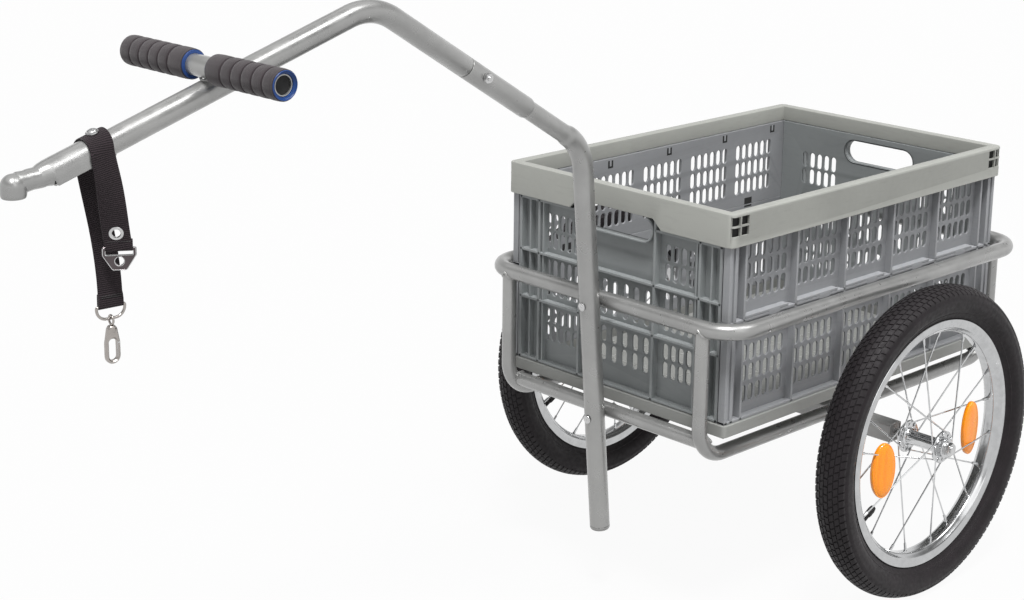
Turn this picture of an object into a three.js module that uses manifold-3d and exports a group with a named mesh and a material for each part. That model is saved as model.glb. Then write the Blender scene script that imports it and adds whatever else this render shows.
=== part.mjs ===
// Bike cargo trailer: tube frame on two spoked wheels, bent drawbar with a ball coupling,
// T handle, safety strap with a snap hook, and a folding plastic crate that lifts out.
// Millimetres, +X towards the coupling, +Y to the left, +Z up. While it is being built the
// axle lies over x = 0 and the wheels touch the ground at z = 0.

import * as THREE from 'three'
import { mergeVertices } from 'three/addons/utils/BufferGeometryUtils.js'
import Module from 'manifold-3d'

const wasm = await Module()
wasm.setup()

// Driving dimensions

const gap = 0.3 // left between pieces that seat on each other
const overrun = 3 // how far a cutter runs past the face it cuts

const wheelSides = 32
const wheel = {
  frameRoom: 39, // between the frame's loop and each tyre
  beadRadius: 152.5, // ISO 305 bead seat
  tyreHeight: 47.5, // a 16 x 1.75 tyre, from its bead to its tread
  flangeHeight: 6,
  rimWidth: 26,
  rimWall: 2,
  rimDepth: 11,
  rimFloorWidth: 15,
  tyreWidth: 45,
  tyreWall: 4,
  treadWidth: 32,
  shoulderDrop: 9,
}

const hub = {
  flangeRadius: 20.5,
  flangeThickness: 3,
  flangeSpread: 51, // between the two flanges' middles
  barrelRadius: 9,
  cupRadius: 12.5,
  cupLength: 5,
  boreRadius: 6,
  holeInset: 3, // spoke holes inside the flange edge
  spokeRadius: 1,
  spokesPerFlange: 10,
  spokeRimOffset: 3,
}
const spokeLead = THREE.MathUtils.degToRad(68) // how far round the hub a spoke starts

const reflector = {
  height: 70,
  width: 37,
  thickness: 7.2,
  outward: 8.5, // off the wheel's middle plane
  frontInset: 43.5, // from the rim's inner face to the reflector's middle
  rearInset: 56.5,
  inset: 1.6, // its bevelled edge
}
const frontReflectorTurn = THREE.MathUtils.degToRad(5.8) // below the level, ahead of the axle
const rearReflectorTurn = THREE.MathUtils.degToRad(0.7) // below the level, behind it

const capStraightShare = 0.7 // how much of the valve's cap is straight
const valve = { radius: 3.2, capRadius: 4.1, stemLength: 10, capLength: 15, footRadius: 4.8, footHeight: 2 }
const valveTurn = THREE.MathUtils.degToRad(30.6) // below the level, ahead of the axle

const axle = {
  beamSize: 24, // square tube
  beamWall: 2.5,
  hubRoom: 12.2, // between the beam's end and the hub
  spindleRadius: 4.7,
  plugLength: 40,
  coneRadius: 8,
  coneLength: 2.5,
  nutRadius: 8.5,
  nutThickness: 5.5,
  threadProud: 1.5,
}

const frame = {
  tube: 20, // outer diameter of the loop, side and cross tubes
  wall: 1.5,
  bendRadius: 42, // on the tube's centre line
  endRoom: 12.5, // between the loop and the crate's rim, front and rear
  sideRoom: 7, // the same at each side
  sideInset: 23, // from the crate's rim in to each side frame's middle
  loopRise: 161.5, // the loop's centre line above the side frames' lower run
  crossRise: 15.7, // the cross tubes' centre lines above it
  crossSeat: 5.55, // how far the cross tubes' middles lie outside the crate's foot
  centre: 1.3, // how far the loop's middle lies ahead of the axle
}

const drawbar = {
  tube: 25,
  wall: 1.8,
  legBottom: 88.5,
  elbowRise: 195.9, // from the loop up to where the leg's line meets the rising line
  elbowRadius: 58,
  crownAhead: 319.5, // from the elbow's corner to the crown's corner
  crownRadius: 74,
  frontLength: 413, // crown's corner to the tube's front end, along the tube
  sleeveLength: 110,
  sleeveWall: 1.3,
  sleeveFromElbow: 110, // elbow's corner to the sleeve's lower end, along the tube
  neckInset: 52, // how far each swaged end reaches into the sleeve
  slitWidth: 2,
  slitLength: 27,
  boltFromSeam: 24,
  capHeight: 5.5,
  capTuck: 14,
}
const riseAngle = THREE.MathUtils.degToRad(31.9) // sleeve stretch, above the level
const fallAngle = THREE.MathUtils.degToRad(17) // front stretch, below the level

const domeShare = 0.66 // how much of a bolt head's width its crown keeps
const bolt = { radius: 3, head: 5.5, headHeight: 3.6, nut: 5.8, nutHeight: 5, proud: 2, lowerDrop: 2 }

const handle = {
  barRadius: 11,
  barWall: 1.5,
  barLength: 257,
  barFromCrown: 206.4, // crown's corner to the crossbar, along the level
  gripLength: 109.4,
  gripRadius: 15.8,
  grooveDepth: 1.6,
  grooveWidth: 3,
  firstRib: 24.6, // the rib nearest the drawbar is longer than the rest
  ribs: 6,
  sleeveWall: 1.6,
  flangeRadius: 15.6,
  flangeThickness: 2.4,
  fromEnd: 0.8, // the bar shows this much past the grip
}

const coupling = {
  socketRadius: 12.5,
  socketHeight: 23.5,
  socketWall: 2.2,
  socketAhead: 430.8, // crown's corner to the socket's axis, along the level
  socketDrop: 136.4, // crown's corner down to the socket's mouth
  neckHalfWidth: 9.2,
  neckHalfHeight: 9.6,
  saddleWall: 2.2,
  saddleLength: 68,
  saddleSkirt: 8.6, // straight sides below the tube's centre line
  neckLength: 30,
}
const neckShares = { height: 0.6, reach: 0.6, middle: 0.25, farWidth: 0.9, farHeight: 0.8 }

const strap = {
  width: 26.5,
  thickness: 1.8,
  fromTubeEnd: 58, // the strap's middle behind the front tube's end, along the tube
  nearDrop: 97.78, // the tails' lower ends below the strap's middle on the tube
  farDrop: 157.28,
  nearBack: 17.72, // how far each tail leans back to its lower end
  farBack: 14.72,
  nearStray: 6.5, // the tails hang closer together than the tube is wide
  farStray: 12,
  eyeDrop: 81.78,
  eyeRadius: 4.2,
  eyeletRadius: 7,
  eyeletLip: 1.1,
  hem: 10,
  hemThickness: 5.4,
}
const nearTwist = THREE.MathUtils.degToRad(33)
const farTwist = THREE.MathUtils.degToRad(-5)

const plate = {
  width: 33,
  height: 23,
  thickness: 2,
  slotHeight: 5,
  barHeight: 3,
  corner: 3.5,
  tip: 7,
  holeRadius: 4.3,
}

const bowShare = 0.8 // how much of the D-ring's depth its lower bends take
const ring = { width: 33.5, height: 16, wire: 3, corner: 1.9 }

const hookShares = {
  shoulder: 0.6, // of half the width, where the hook narrows to its collar
  waist: 0.45, // of the height, where it is widest
  roomBend: 0.95,
  gatePlace: 0.55, // how far into the bow's wall the gate's middle lies
  gateWidth: 0.9,
}
const hookBendShares = [0.5, 0.5, 1.4, 0.98, 0.98, 1.4] // of half the width, round its outline
const hook = {
  eyeRadius: 4.6,
  eyeWire: 2.2,
  collarHeight: 5,
  stemRadius: 2.1,
  buttonHeight: 4.5, // room for the stud's button under the collar
  shoulderHeight: 13, // from the hook's top to the opening inside the bow
  height: 38.5,
  width: 16,
  thickness: 6,
  wall: 3.6,
  gateThickness: 3.2,
}

const crate = {
  centre: 6.7, // how far its middle lies ahead of the axle
  fullLength: 549,
  width: 368,
  height: 274.3,
  restGap: 0.08, // between its foot and the cross tubes it stands on
  corner: 8,
  rimHeight: 40,
  rimWidth: 14,
  rimWall: 3,
  lipHeight: 20,
  wallInset: 5, // the panels' outer faces behind the rim's
  panelDepth: 12,
  plate: 2.6,
  plinthInset: 2,
  plinthHeight: 17.2,
  floor: 4,
  splitHeight: 142.6, // where the two halves of a side wall meet, above the crate's bottom
  rib: 4,
  flange: 3.5,
  notchRise: 12.4,
  notchWide: 151,
  notchNarrow: 124,
}

const side = {
  cornerBay: 29.5, // from the wall's end to its first bay
  bays: 5,
  slotColumns: 6,
  slotMargin: 10, // from a rib's middle to the first slot
  slotHeight: 70,
  slotWidth: 8.6,
  upperField: 160.6, // the slots' lower ends above the crate's bottom
  lowerField: 34.6,
}

const end = {
  ribPlaces: [62, 133],
  ribHeights: [98.6, 161.1], // above the crate's bottom, as all heights here
  groupInner: 72,
  groupWidth: 56,
  centreWidth: 96,
  slotColumns: 5,
  centreColumns: 6,
  slotWidth: 7,
  holeLength: 113,
  holeHeight: 31,
  holeDrop: 60.2, // from the crate's top to the hand hole's lower edge
  lip: 2.4,
  rowBottoms: [46.6, 106.6, 172.6],
  rowHeights: [44, 46, 40],
  centreRows: 2,
}

// Sizes that follow from those

const wheelRadius = wheel.beadRadius + wheel.tyreHeight
const rimInnerR = wheel.beadRadius - wheel.rimDepth
const tubeR = frame.tube / 2
const barR = drawbar.tube / 2
const neckR = barR - drawbar.sleeveWall - gap // the swaged ends that meet in the sleeve
const loopHalfX = crate.fullLength / 2 + frame.endRoom + tubeR
const loopHalfY = crate.width / 2 + frame.sideRoom + tubeR
const loopX = frame.centre + loopHalfX
const sideY = crate.width / 2 - frame.sideInset
const track = 2 * (loopHalfY + tubeR + wheel.frameRoom) + wheel.tyreWidth // between the tyres' middles
const sideZ = wheelRadius + axle.beamSize / 2 + gap + tubeR
const loopZ = sideZ + frame.loopRise
const crossZ = sideZ + frame.crossRise
const crossX = crate.centre + crate.fullLength / 2 - crate.plinthInset + frame.crossSeat
const crateBottom = crossZ + Math.sqrt(tubeR ** 2 - frame.crossSeat ** 2) + crate.restGap
const legLean = Math.atan2(loopX - crossX, loopZ - crossZ) // the leg touches both of these tubes
const legOffset = (tubeR + barR + gap) / Math.cos(legLean)
const lowerBoltZ = crossZ - bolt.lowerDrop
const hubHalf = hub.flangeSpread / 2 + hub.flangeThickness / 2 + hub.cupLength
const beamHalf = track / 2 - hubHalf - gap - axle.hubRoom

// Helpers

const vec = (x, y, z) => new THREE.Vector3(x, y, z)
const yAxis = vec(0, 1, 0)
const zAxis = vec(0, 0, 1)

// A route that a sweep follows point by point, turning evenly at each one.
class Route extends THREE.Curve {
  constructor(points) {
    super()
    this.points = points
  }

  getPoint(t) {
    const last = this.points.length - 1
    const at = Math.min(Math.floor(t * last), last - 1)
    return this.points[at].clone().lerp(this.points[at + 1], t * last - at)
  }

  getPointAt(u) {
    return this.getPoint(u)
  }

  getSpacedPoints() {
    return this.points
  }

  getTangentAt(u) {
    const last = this.points.length - 1
    const at = Math.round(u * last)
    const into = this.points[Math.max(at, 1)].clone().sub(this.points[Math.max(at, 1) - 1]).normalize()
    const from = Math.min(at, last - 1)
    const out = this.points[from + 1].clone().sub(this.points[from]).normalize()
    return into.add(out).normalize()
  }

  getTangent(u) {
    return this.getTangentAt(u)
  }
}

// Corner points joined by straights, with each inner corner rounded to a bend.
function bentPath(corners, bends, steps, closed = false) {
  const count = corners.length
  return corners.flatMap((here, i) => {
    if (!closed && (i === 0 || i === count - 1)) return [here.clone()]
    const back = corners[(i + count - 1) % count].clone().sub(here).normalize()
    const on = corners[(i + 1) % count].clone().sub(here).normalize()
    const bend = Array.isArray(bends) ? bends[i] : bends
    const half = back.angleTo(on) / 2
    const setback = bend / Math.tan(half)
    const centre = back.clone().add(on).setLength(bend / Math.sin(half)).add(here)
    const first = here.clone().addScaledVector(back, setback).sub(centre)
    const last = here.clone().addScaledVector(on, setback).sub(centre)
    const turn = Math.PI - 2 * half
    return Array.from({ length: steps + 1 }, (_, k) => {
      const a = Math.sin((1 - k / steps) * turn) / Math.sin(turn)
      const b = Math.sin((k / steps) * turn) / Math.sin(turn)
      return centre.clone().addScaledVector(first, a).addScaledVector(last, b)
    })
  })
}

function circlePoints(radius, sides, x = 0, y = 0) {
  const turn = (2 * Math.PI) / sides
  return Array.from({ length: sides }, (_, i) => {
    const angle = (i + 1 / 2) * turn
    return new THREE.Vector2(x + radius * Math.cos(angle), y + radius * Math.sin(angle))
  })
}

// Signed volume of a merged, indexed geometry: negative when its faces point in.
function signedVolume(position, index) {
  const [a, b, c] = [vec(0, 0, 0), vec(0, 0, 0), vec(0, 0, 0)]
  let sum = 0
  for (let i = 0; i < index.length; i += 3) {
    a.fromArray(position, 3 * index[i])
    b.fromArray(position, 3 * index[i + 1])
    c.fromArray(position, 3 * index[i + 2])
    sum += a.dot(b.cross(c))
  }
  return sum / 6
}

// A closed mesh as a solid for joins and cuts.
function solid(geometry) {
  geometry.deleteAttribute('normal')
  geometry.deleteAttribute('uv')
  const merged = mergeVertices(geometry)
  const vertProperties = Float32Array.from(merged.attributes.position.array)
  const triVerts = Uint32Array.from(merged.index.array)
  if (signedVolume(vertProperties, triVerts) < 0) {
    for (let i = 0; i < triVerts.length; i += 3) {
      const first = triVerts[i]
      triVerts[i] = triVerts[i + 1]
      triVerts[i + 1] = first
    }
  }
  return new wasm.Manifold(new wasm.Mesh({ numProp: 3, vertProperties, triVerts }))
}

const union = (solids) => solids.reduce((sum, one) => sum.add(one))
const cut = (body, tools) => tools.reduce((rest, tool) => rest.subtract(tool), body)

// A solid turned into a named mesh with its own material.
function addPiece(group, name, body, look) {
  const mesh = body.getMesh()
  const geometry = new THREE.BufferGeometry()
  geometry.setAttribute('position', new THREE.BufferAttribute(Float32Array.from(mesh.vertProperties), 3))
  geometry.setIndex(Array.from(mesh.triVerts))
  geometry.computeVertexNormals()
  const piece = new THREE.Mesh(geometry, new THREE.MeshStandardMaterial({ ...look, flatShading: true }))
  piece.name = name
  group.add(piece)
  return piece
}

const sweep = (points, radius, sides) =>
  solid(
    new THREE.ExtrudeGeometry(new THREE.Shape(circlePoints(radius, sides)), {
      steps: points.length - 1,
      extrudePath: new Route(points),
    })
  )

// A hollow tube: the bore runs on past both ends by the overrun.
function hollowTube(points, radius, wall, sides, boreSides = sides / 2) {
  const bore = points.map((p) => p.clone())
  const last = bore.length - 1
  bore[0].addScaledVector(bore[0].clone().sub(points[1]).normalize(), overrun)
  bore[last].addScaledVector(bore[last].clone().sub(points[last - 1]).normalize(), overrun)
  return cut(sweep(points, radius, sides), [sweep(bore, radius - wall, boreSides)])
}

// A tube that closes on itself and lies level.
function levelLoop(points, radius, sides) {
  const position = []
  const index = []
  const count = points.length
  points.forEach((here, i) => {
    const into = here.clone().sub(points[(i + count - 1) % count]).normalize()
    const out = points[(i + 1) % count].clone().sub(here).normalize()
    const across = into.add(out).normalize().cross(zAxis)
    for (let k = 0; k < sides; k++) {
      const angle = ((k + 0.5) * 2 * Math.PI) / sides
      const point = here.clone().addScaledVector(across, radius * Math.cos(angle))
      point.addScaledVector(zAxis, radius * Math.sin(angle))
      position.push(point.x, point.y, point.z)
      const [a, b] = [i * sides + k, i * sides + ((k + 1) % sides)]
      const [c, d] = [((i + 1) % count) * sides + k, ((i + 1) % count) * sides + ((k + 1) % sides)]
      index.push(a, c, b, b, c, d)
    }
  })
  const geometry = new THREE.BufferGeometry()
  geometry.setAttribute('position', new THREE.Float32BufferAttribute(position, 3))
  geometry.setIndex(index)
  return solid(geometry)
}

// Rings of points joined one to the next and closed at both ends.
function loft(rings) {
  const sides = rings[0].length
  const position = rings.flat().flatMap((p) => [p.x, p.y, p.z])
  const index = []
  for (let i = 0; i + 1 < rings.length; i++) {
    for (let k = 0; k < sides; k++) {
      const [a, b] = [i * sides + k, i * sides + ((k + 1) % sides)]
      index.push(a, b, a + sides, b, b + sides, a + sides)
    }
  }
  const last = (rings.length - 1) * sides
  for (let k = 1; k + 1 < sides; k++) {
    index.push(0, k + 1, k, last, last + k, last + k + 1)
  }
  const geometry = new THREE.BufferGeometry()
  geometry.setAttribute('position', new THREE.Float32BufferAttribute(position, 3))
  geometry.setIndex(index)
  return solid(geometry)
}

// The other half of a profile of [radius, y] pairs, run through backwards.
const mirrored = (half) => [...half].reverse().map(([r, y]) => [r, -y])

// A turned piece about Y from [radius, y] pairs. A profile that misses the axis closes on itself.
function turned(profile, segments) {
  const points = profile.map(([r, y]) => new THREE.Vector2(r, y))
  if (profile[0][0] > 0) points.push(points[0].clone())
  return solid(new THREE.LatheGeometry(points, segments))
}

function rod(from, to, radius, sides) {
  const along = to.clone().sub(from)
  const geometry = new THREE.CylinderGeometry(radius, radius, along.length(), sides)
  geometry.applyQuaternion(new THREE.Quaternion().setFromUnitVectors(yAxis, along.clone().normalize()))
  const middle = from.clone().add(to).multiplyScalar(0.5)
  geometry.translate(middle.x, middle.y, middle.z)
  return solid(geometry)
}

function block(low, high) {
  const geometry = new THREE.BoxGeometry(high.x - low.x, high.y - low.y, high.z - low.z)
  geometry.translate((low.x + high.x) / 2, (low.y + high.y) / 2, (low.z + high.z) / 2)
  return solid(geometry)
}

// An outline in the X-Z plane given thickness from y = 0 towards +Y.
function slab(shape, depth, curveSegments = 3) {
  const geometry = new THREE.ExtrudeGeometry(shape, { depth, bevelEnabled: false, curveSegments })
  geometry.rotateX(Math.PI / 2)
  geometry.translate(0, depth, 0)
  return solid(geometry)
}

// An outline in the X-Y plane given height from z = 0 upwards.
const plateau = (shape, depth, curveSegments = 3) =>
  solid(new THREE.ExtrudeGeometry(shape, { depth, bevelEnabled: false, curveSegments }))

function roundedRectangle(halfX, halfY, corner) {
  const shape = new THREE.Shape()
  shape.absarc(halfX - corner, halfY - corner, corner, 0, Math.PI / 2)
  shape.absarc(corner - halfX, halfY - corner, corner, Math.PI / 2, Math.PI)
  shape.absarc(corner - halfX, corner - halfY, corner, Math.PI, 1.5 * Math.PI)
  shape.absarc(halfX - corner, corner - halfY, corner, 1.5 * Math.PI, 2 * Math.PI)
  return shape
}

function stadium(length, height, middle) {
  const shape = new THREE.Shape()
  const straight = (length - height) / 2
  shape.absarc(straight, middle, height / 2, -Math.PI / 2, Math.PI / 2)
  shape.absarc(-straight, middle, height / 2, Math.PI / 2, 1.5 * Math.PI)
  return shape
}

// Looks

const looks = {
  silver: { color: 0x9d9fa0, roughness: 0.38, metalness: 0.55 },
  darkTube: { color: 0x7b7f80, roughness: 0.5, metalness: 0.4 },
  zinc: { color: 0xc9cccf, roughness: 0.25, metalness: 0.95 },
  chrome: { color: 0xd8dadc, roughness: 0.12, metalness: 1 },
  rubber: { color: 0x1d1b1c, roughness: 0.8, metalness: 0 },
  foam: { color: 0x3c383b, roughness: 0.95, metalness: 0 },
  blue: { color: 0x1f4f9e, roughness: 0.4, metalness: 0 },
  webbing: { color: 0x1a171b, roughness: 0.9, metalness: 0 },
  orange: { color: 0xff7a08, roughness: 0.25, metalness: 0 },
  rimPlastic: { color: 0x9b9b95, roughness: 0.6, metalness: 0 },
  wallPlastic: { color: 0x888c90, roughness: 0.6, metalness: 0 },
  endPlastic: { color: 0x7d898a, roughness: 0.6, metalness: 0 },
}

// Wheels

// A C-shaped section: the beads sit between the rim's flanges.
function makeTyre() {
  const beadHalf = wheel.rimWidth / 2 - wheel.rimWall - gap
  const beadR = wheel.beadRadius + gap
  const flangeR = wheel.beadRadius + wheel.flangeHeight + gap
  const widestR = (wheelRadius + wheel.beadRadius) / 2
  const half = wheel.tyreWidth / 2
  const tread = wheel.treadWidth / 2
  const wall = wheel.tyreWall
  const outer = [
    [beadR, beadHalf],
    [flangeR, beadHalf],
    [widestR, half],
    [wheelRadius - wheel.shoulderDrop, half - gap],
    [wheelRadius, tread / 2],
  ]
  const inner = [
    [wheelRadius - 2 * wall, tread / 2],
    [widestR, half - wall],
    [beadR, beadHalf - wall],
  ]
  return turned([...outer, ...mirrored(outer), ...mirrored(inner), ...inner], wheelSides)
}

function makeRim() {
  const half = wheel.rimWidth / 2
  const flangeR = wheel.beadRadius + wheel.flangeHeight
  const floorHalf = wheel.rimFloorWidth / 2
  const wall = wheel.rimWall
  const outside = [
    [flangeR, half],
    [wheel.beadRadius, half],
    [rimInnerR, floorHalf],
  ]
  const inside = [
    [rimInnerR + wall, floorHalf - wall],
    [wheel.beadRadius, half - wall],
    [flangeR, half - wall],
  ]
  return turned([...outside, ...mirrored(outside), ...mirrored(inside), ...inside], wheelSides)
}

function makeHub() {
  const flangeY = hub.flangeSpread / 2
  const t = hub.flangeThickness / 2
  const halfProfile = [
    [hub.cupRadius - t, hubHalf],
    [hub.cupRadius, flangeY + t],
    [hub.flangeRadius, flangeY + t],
    [hub.flangeRadius, flangeY - t],
    [hub.barrelRadius, flangeY - 2 * t],
  ]
  const outer = [...halfProfile, ...mirrored(halfProfile)]
  return turned([[hub.boreRadius, hubHalf], ...outer, [hub.boreRadius, -hubHalf]], 12)
}

// Spokes leave each flange on a slant, every other one leading and the rest trailing.
function makeSpokes(radius = hub.spokeRadius, flanges = [1, -1]) {
  const holeR = hub.flangeRadius - hub.holeInset
  const rimR = rimInnerR * Math.cos(Math.PI / wheelSides) - 2 * gap
  const pitch = (2 * Math.PI) / hub.spokesPerFlange
  const spokes = []
  for (const sign of flanges) {
    for (let i = 0; i < hub.spokesPerFlange; i++) {
      const rimAngle = i * pitch + (sign > 0 ? 0 : pitch / 2) + pitch / 4
      const hubAngle = rimAngle + (i % 2 ? spokeLead : -spokeLead)
      const face = (i % 2 ? hub.flangeThickness : -hub.flangeThickness) / 2
      const holeY = sign * (hub.flangeSpread / 2 + face)
      const from = vec(holeR * Math.cos(hubAngle), holeY, holeR * Math.sin(hubAngle))
      const to = vec(rimR * Math.cos(rimAngle), sign * hub.spokeRimOffset, rimR * Math.sin(rimAngle))
      spokes.push(rod(from, to, radius, 4))
    }
  }
  return spokes
}

// An oval with bevelled edges, clipped over the outer spokes.
function makeReflector(x, z, sign) {
  const steps = 14
  const oval = (inset, y) =>
    Array.from({ length: steps }, (_, i) => {
      const angle = (i * 2 * Math.PI) / steps
      const halfWidth = reflector.width / 2 - inset
      const halfHeight = reflector.height / 2 - inset
      return vec(x + halfWidth * Math.cos(angle), y, z + halfHeight * Math.sin(angle))
    })
  const half = reflector.thickness / 2
  const middle = sign * reflector.outward
  const ys = [-half, reflector.inset - half, half - reflector.inset, half]
  const body = loft(ys.map((y, i) => oval(i % 3 ? 0 : reflector.inset, middle + y)))
  return cut(body, makeSpokes(hub.spokeRadius + gap, [sign]))
}

// Stem and cap point at the axle; the rubber foot lies in the rim's well.
function makeValve() {
  const wellR = rimInnerR + wheel.rimWall + gap
  const stem = -wheel.rimWall - 2 * gap - valve.stemLength
  const profile = [
    [0, valve.footHeight],
    [valve.footRadius, valve.footHeight],
    [valve.footRadius, 0],
    [valve.radius, 0],
    [valve.radius, stem],
    [valve.capRadius, stem],
    [valve.capRadius, stem - valve.capLength * capStraightShare],
    [valve.radius, stem - valve.capLength],
    [0, stem - valve.capLength],
  ]
  return turned(profile, 12).translate([0, wellR, 0])
}

function makeWheel(name, sign) {
  const group = new THREE.Group()
  group.position.set(0, (sign * track) / 2, wheelRadius)
  const valveGroup = new THREE.Group()
  valveGroup.rotation.y = Math.PI / 2 + valveTurn
  const wellR = rimInnerR + wheel.rimWall
  const holeR = valve.radius + gap
  const holeOut = turned([[0, overrun], [holeR, overrun], [holeR, -wheel.rimDepth], [0, -wheel.rimDepth]], 12)
  const standing = (body) => body.rotate([90, 0, 0])
  const holeTurn = 90 + THREE.MathUtils.radToDeg(valveTurn)
  const hole = standing(holeOut.translate([0, wellR, 0])).rotate([0, holeTurn, 0])
  addPiece(group, `tyre_${name}`, makeTyre(), looks.rubber)
  addPiece(group, `rim_${name}`, cut(makeRim(), [hole]), looks.chrome)
  addPiece(group, `hub_and_spokes_${name}`, union([makeHub(), ...makeSpokes()]), looks.chrome)
  addPiece(valveGroup, `valve_${name}`, standing(makeValve()), looks.rubber)
  group.add(valveGroup)
  const frontReach = rimInnerR - reflector.frontInset
  const rearReach = rimInnerR - reflector.rearInset
  const frontX = frontReach * Math.cos(frontReflectorTurn)
  const rearX = -rearReach * Math.cos(rearReflectorTurn)
  const frontZ = -frontReach * Math.sin(frontReflectorTurn)
  const rearZ = -rearReach * Math.sin(rearReflectorTurn)
  addPiece(group, `reflector_${name}_front`, makeReflector(frontX, frontZ, sign), looks.orange)
  addPiece(group, `reflector_${name}_rear`, makeReflector(rearX, rearZ, sign), looks.orange)
  return group
}

// Axle beam and spindles

function makeAxle(group) {
  const half = axle.beamSize / 2
  const bore = half - axle.beamWall
  const beam = block(vec(-half, -beamHalf, -half), vec(half, beamHalf, half))
  const hollow = block(vec(-bore, -beamHalf - overrun, -bore), vec(bore, beamHalf + overrun, bore))
  addPiece(group, 'axle_beam', cut(beam, [hollow]).translate([0, 0, wheelRadius]), looks.darkTube)
  for (const [name, sign] of [['left', 1], ['right', -1]]) {
    const inner = beamHalf - axle.plugLength
    const hubInner = track / 2 - hubHalf - gap
    const hubOuter = track / 2 + hubHalf + gap
    const nutStart = hubOuter + axle.coneLength
    const end = nutStart + axle.nutThickness + axle.threadProud
    const plugHalf = bore - gap
    const plug = block(vec(-plugHalf, inner, -plugHalf), vec(plugHalf, beamHalf, plugHalf))
    const shaft = turned(
      [
        [0, beamHalf - overrun],
        [axle.spindleRadius, beamHalf - overrun],
        [axle.spindleRadius, hubInner - axle.coneLength - gap],
        [axle.coneRadius, hubInner - axle.coneLength - gap],
        [axle.coneRadius, hubInner],
        [axle.spindleRadius, hubInner],
        [axle.spindleRadius, end],
        [0, end],
      ],
      12
    )
    const spindle = union([plug, shaft])
    const placed = sign > 0 ? spindle : spindle.rotate([0, 0, 180])
    addPiece(group, `spindle_${name}`, placed.translate([0, 0, wheelRadius]), looks.zinc)
    const bored = axle.spindleRadius + gap
    const coneR = axle.coneRadius
    const cone = turned([[bored, hubOuter], [coneR, hubOuter], [coneR, nutStart], [bored, nutStart]], 12)
    const nutRoom = rod(vec(0, nutStart - overrun, 0), vec(0, end, 0), bored, 12)
    const hexagon = rod(vec(0, nutStart, 0), vec(0, nutStart + axle.nutThickness, 0), axle.nutRadius, 6)
    const nut = cut(hexagon, [nutRoom])
    const stack = union([cone, nut])
    const turnedStack = sign > 0 ? stack : stack.rotate([0, 0, 180])
    addPiece(group, `axle_nut_${name}`, turnedStack.translate([0, 0, wheelRadius]), looks.zinc)
  }
}

// Frame tubes

const loopCorners = [
  vec(loopX, loopHalfY, loopZ),
  vec(frame.centre - loopHalfX, loopHalfY, loopZ),
  vec(frame.centre - loopHalfX, -loopHalfY, loopZ),
  vec(loopX, -loopHalfY, loopZ),
]

// The drawbar's leg is a straight line in the middle plane, just ahead of the loop and the front
// cross tube.
const legPoint = (z) => vec(loopX + legOffset + Math.tan(legLean) * (z - loopZ), 0, z)
const legAxis = vec(Math.sin(legLean), 0, Math.cos(legLean))
const legNormal = vec(Math.cos(legLean), 0, -Math.sin(legLean))

// Bolts run square to the leg, through it and the tube behind it.
function legBoltEnds(z) {
  const tubeCentre = vec(z === loopZ ? loopX : crossX, 0, z)
  const back = tubeCentre.clone().addScaledVector(legNormal, -tubeR)
  const front = tubeCentre.clone().addScaledVector(legNormal, tubeR + gap + 2 * barR)
  return { back, front }
}

function boltHole(z, sides = 8) {
  const { back, front } = legBoltEnds(z)
  const from = back.addScaledVector(legNormal, -overrun)
  return rod(from, front.addScaledVector(legNormal, overrun), bolt.radius + 2 * gap, sides)
}

function addBolt(group, name, from, to) {
  const along = to.clone().sub(from).normalize()
  const headFoot = to.clone().addScaledVector(along, gap)
  const headTop = headFoot.clone().addScaledVector(along, bolt.headHeight / 2)
  const crown = headTop.clone().addScaledVector(along, bolt.headHeight / 2)
  const tail = from.clone().addScaledVector(along, -gap - bolt.nutHeight - bolt.proud)
  const domeFoot = headTop.clone().addScaledVector(along, -gap)
  const head = union([rod(headFoot, headTop, bolt.head, 12), rod(domeFoot, crown, bolt.head * domeShare, 12)])
  addPiece(group, `${name}_bolt`, union([rod(tail, headTop, bolt.radius, 6), head]), looks.zinc)
  const nutNear = from.clone().addScaledVector(along, -gap)
  const nutFar = nutNear.clone().addScaledVector(along, -bolt.nutHeight)
  const holeFar = nutFar.clone().addScaledVector(along, -overrun)
  const holeNear = nutNear.clone().addScaledVector(along, overrun)
  const nutHole = rod(holeFar, holeNear, bolt.radius + 2 * gap, 6)
  addPiece(group, `${name}_nut`, cut(rod(nutFar, nutNear, bolt.nut, 6), [nutHole]), looks.zinc)
}

function makeFrame(group) {
  const sides = 12
  const path = bentPath(loopCorners, frame.bendRadius, 4, true)
  const holes = [boltHole(loopZ), boltHole(lowerBoltZ)]
  const loop = cut(levelLoop(path, tubeR, sides), [levelLoop(path, tubeR - frame.wall, 6), ...holes])
  addPiece(group, 'upper_loop', loop, looks.silver)
  const loopCutter = levelLoop(path, tubeR + gap, sides)
  const sideCutters = []
  for (const [name, sign] of [['left', 1], ['right', -1]]) {
    const y = sign * sideY
    const corners = [
      vec(loopX, y, loopZ),
      vec(loopX, y, sideZ),
      vec(frame.centre - loopHalfX, y, sideZ),
      vec(frame.centre - loopHalfX, y, loopZ),
    ]
    const route = bentPath(corners, frame.bendRadius, 4)
    sideCutters.push(sweep(route, tubeR + gap, sides))
    const tube = cut(hollowTube(route, tubeR, frame.wall, sides), [loopCutter])
    addPiece(group, `side_frame_${name}`, tube, looks.silver)
  }
  for (const [name, x] of [['front', crossX], ['rear', 2 * crate.centre - crossX]]) {
    const route = [vec(x, -sideY, crossZ), vec(x, sideY, crossZ)]
    const tube = cut(hollowTube(route, tubeR, frame.wall, sides), [...sideCutters, ...holes])
    addPiece(group, `${name}_cross_tube`, tube, looks.silver)
  }
}

// Drawbar

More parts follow.
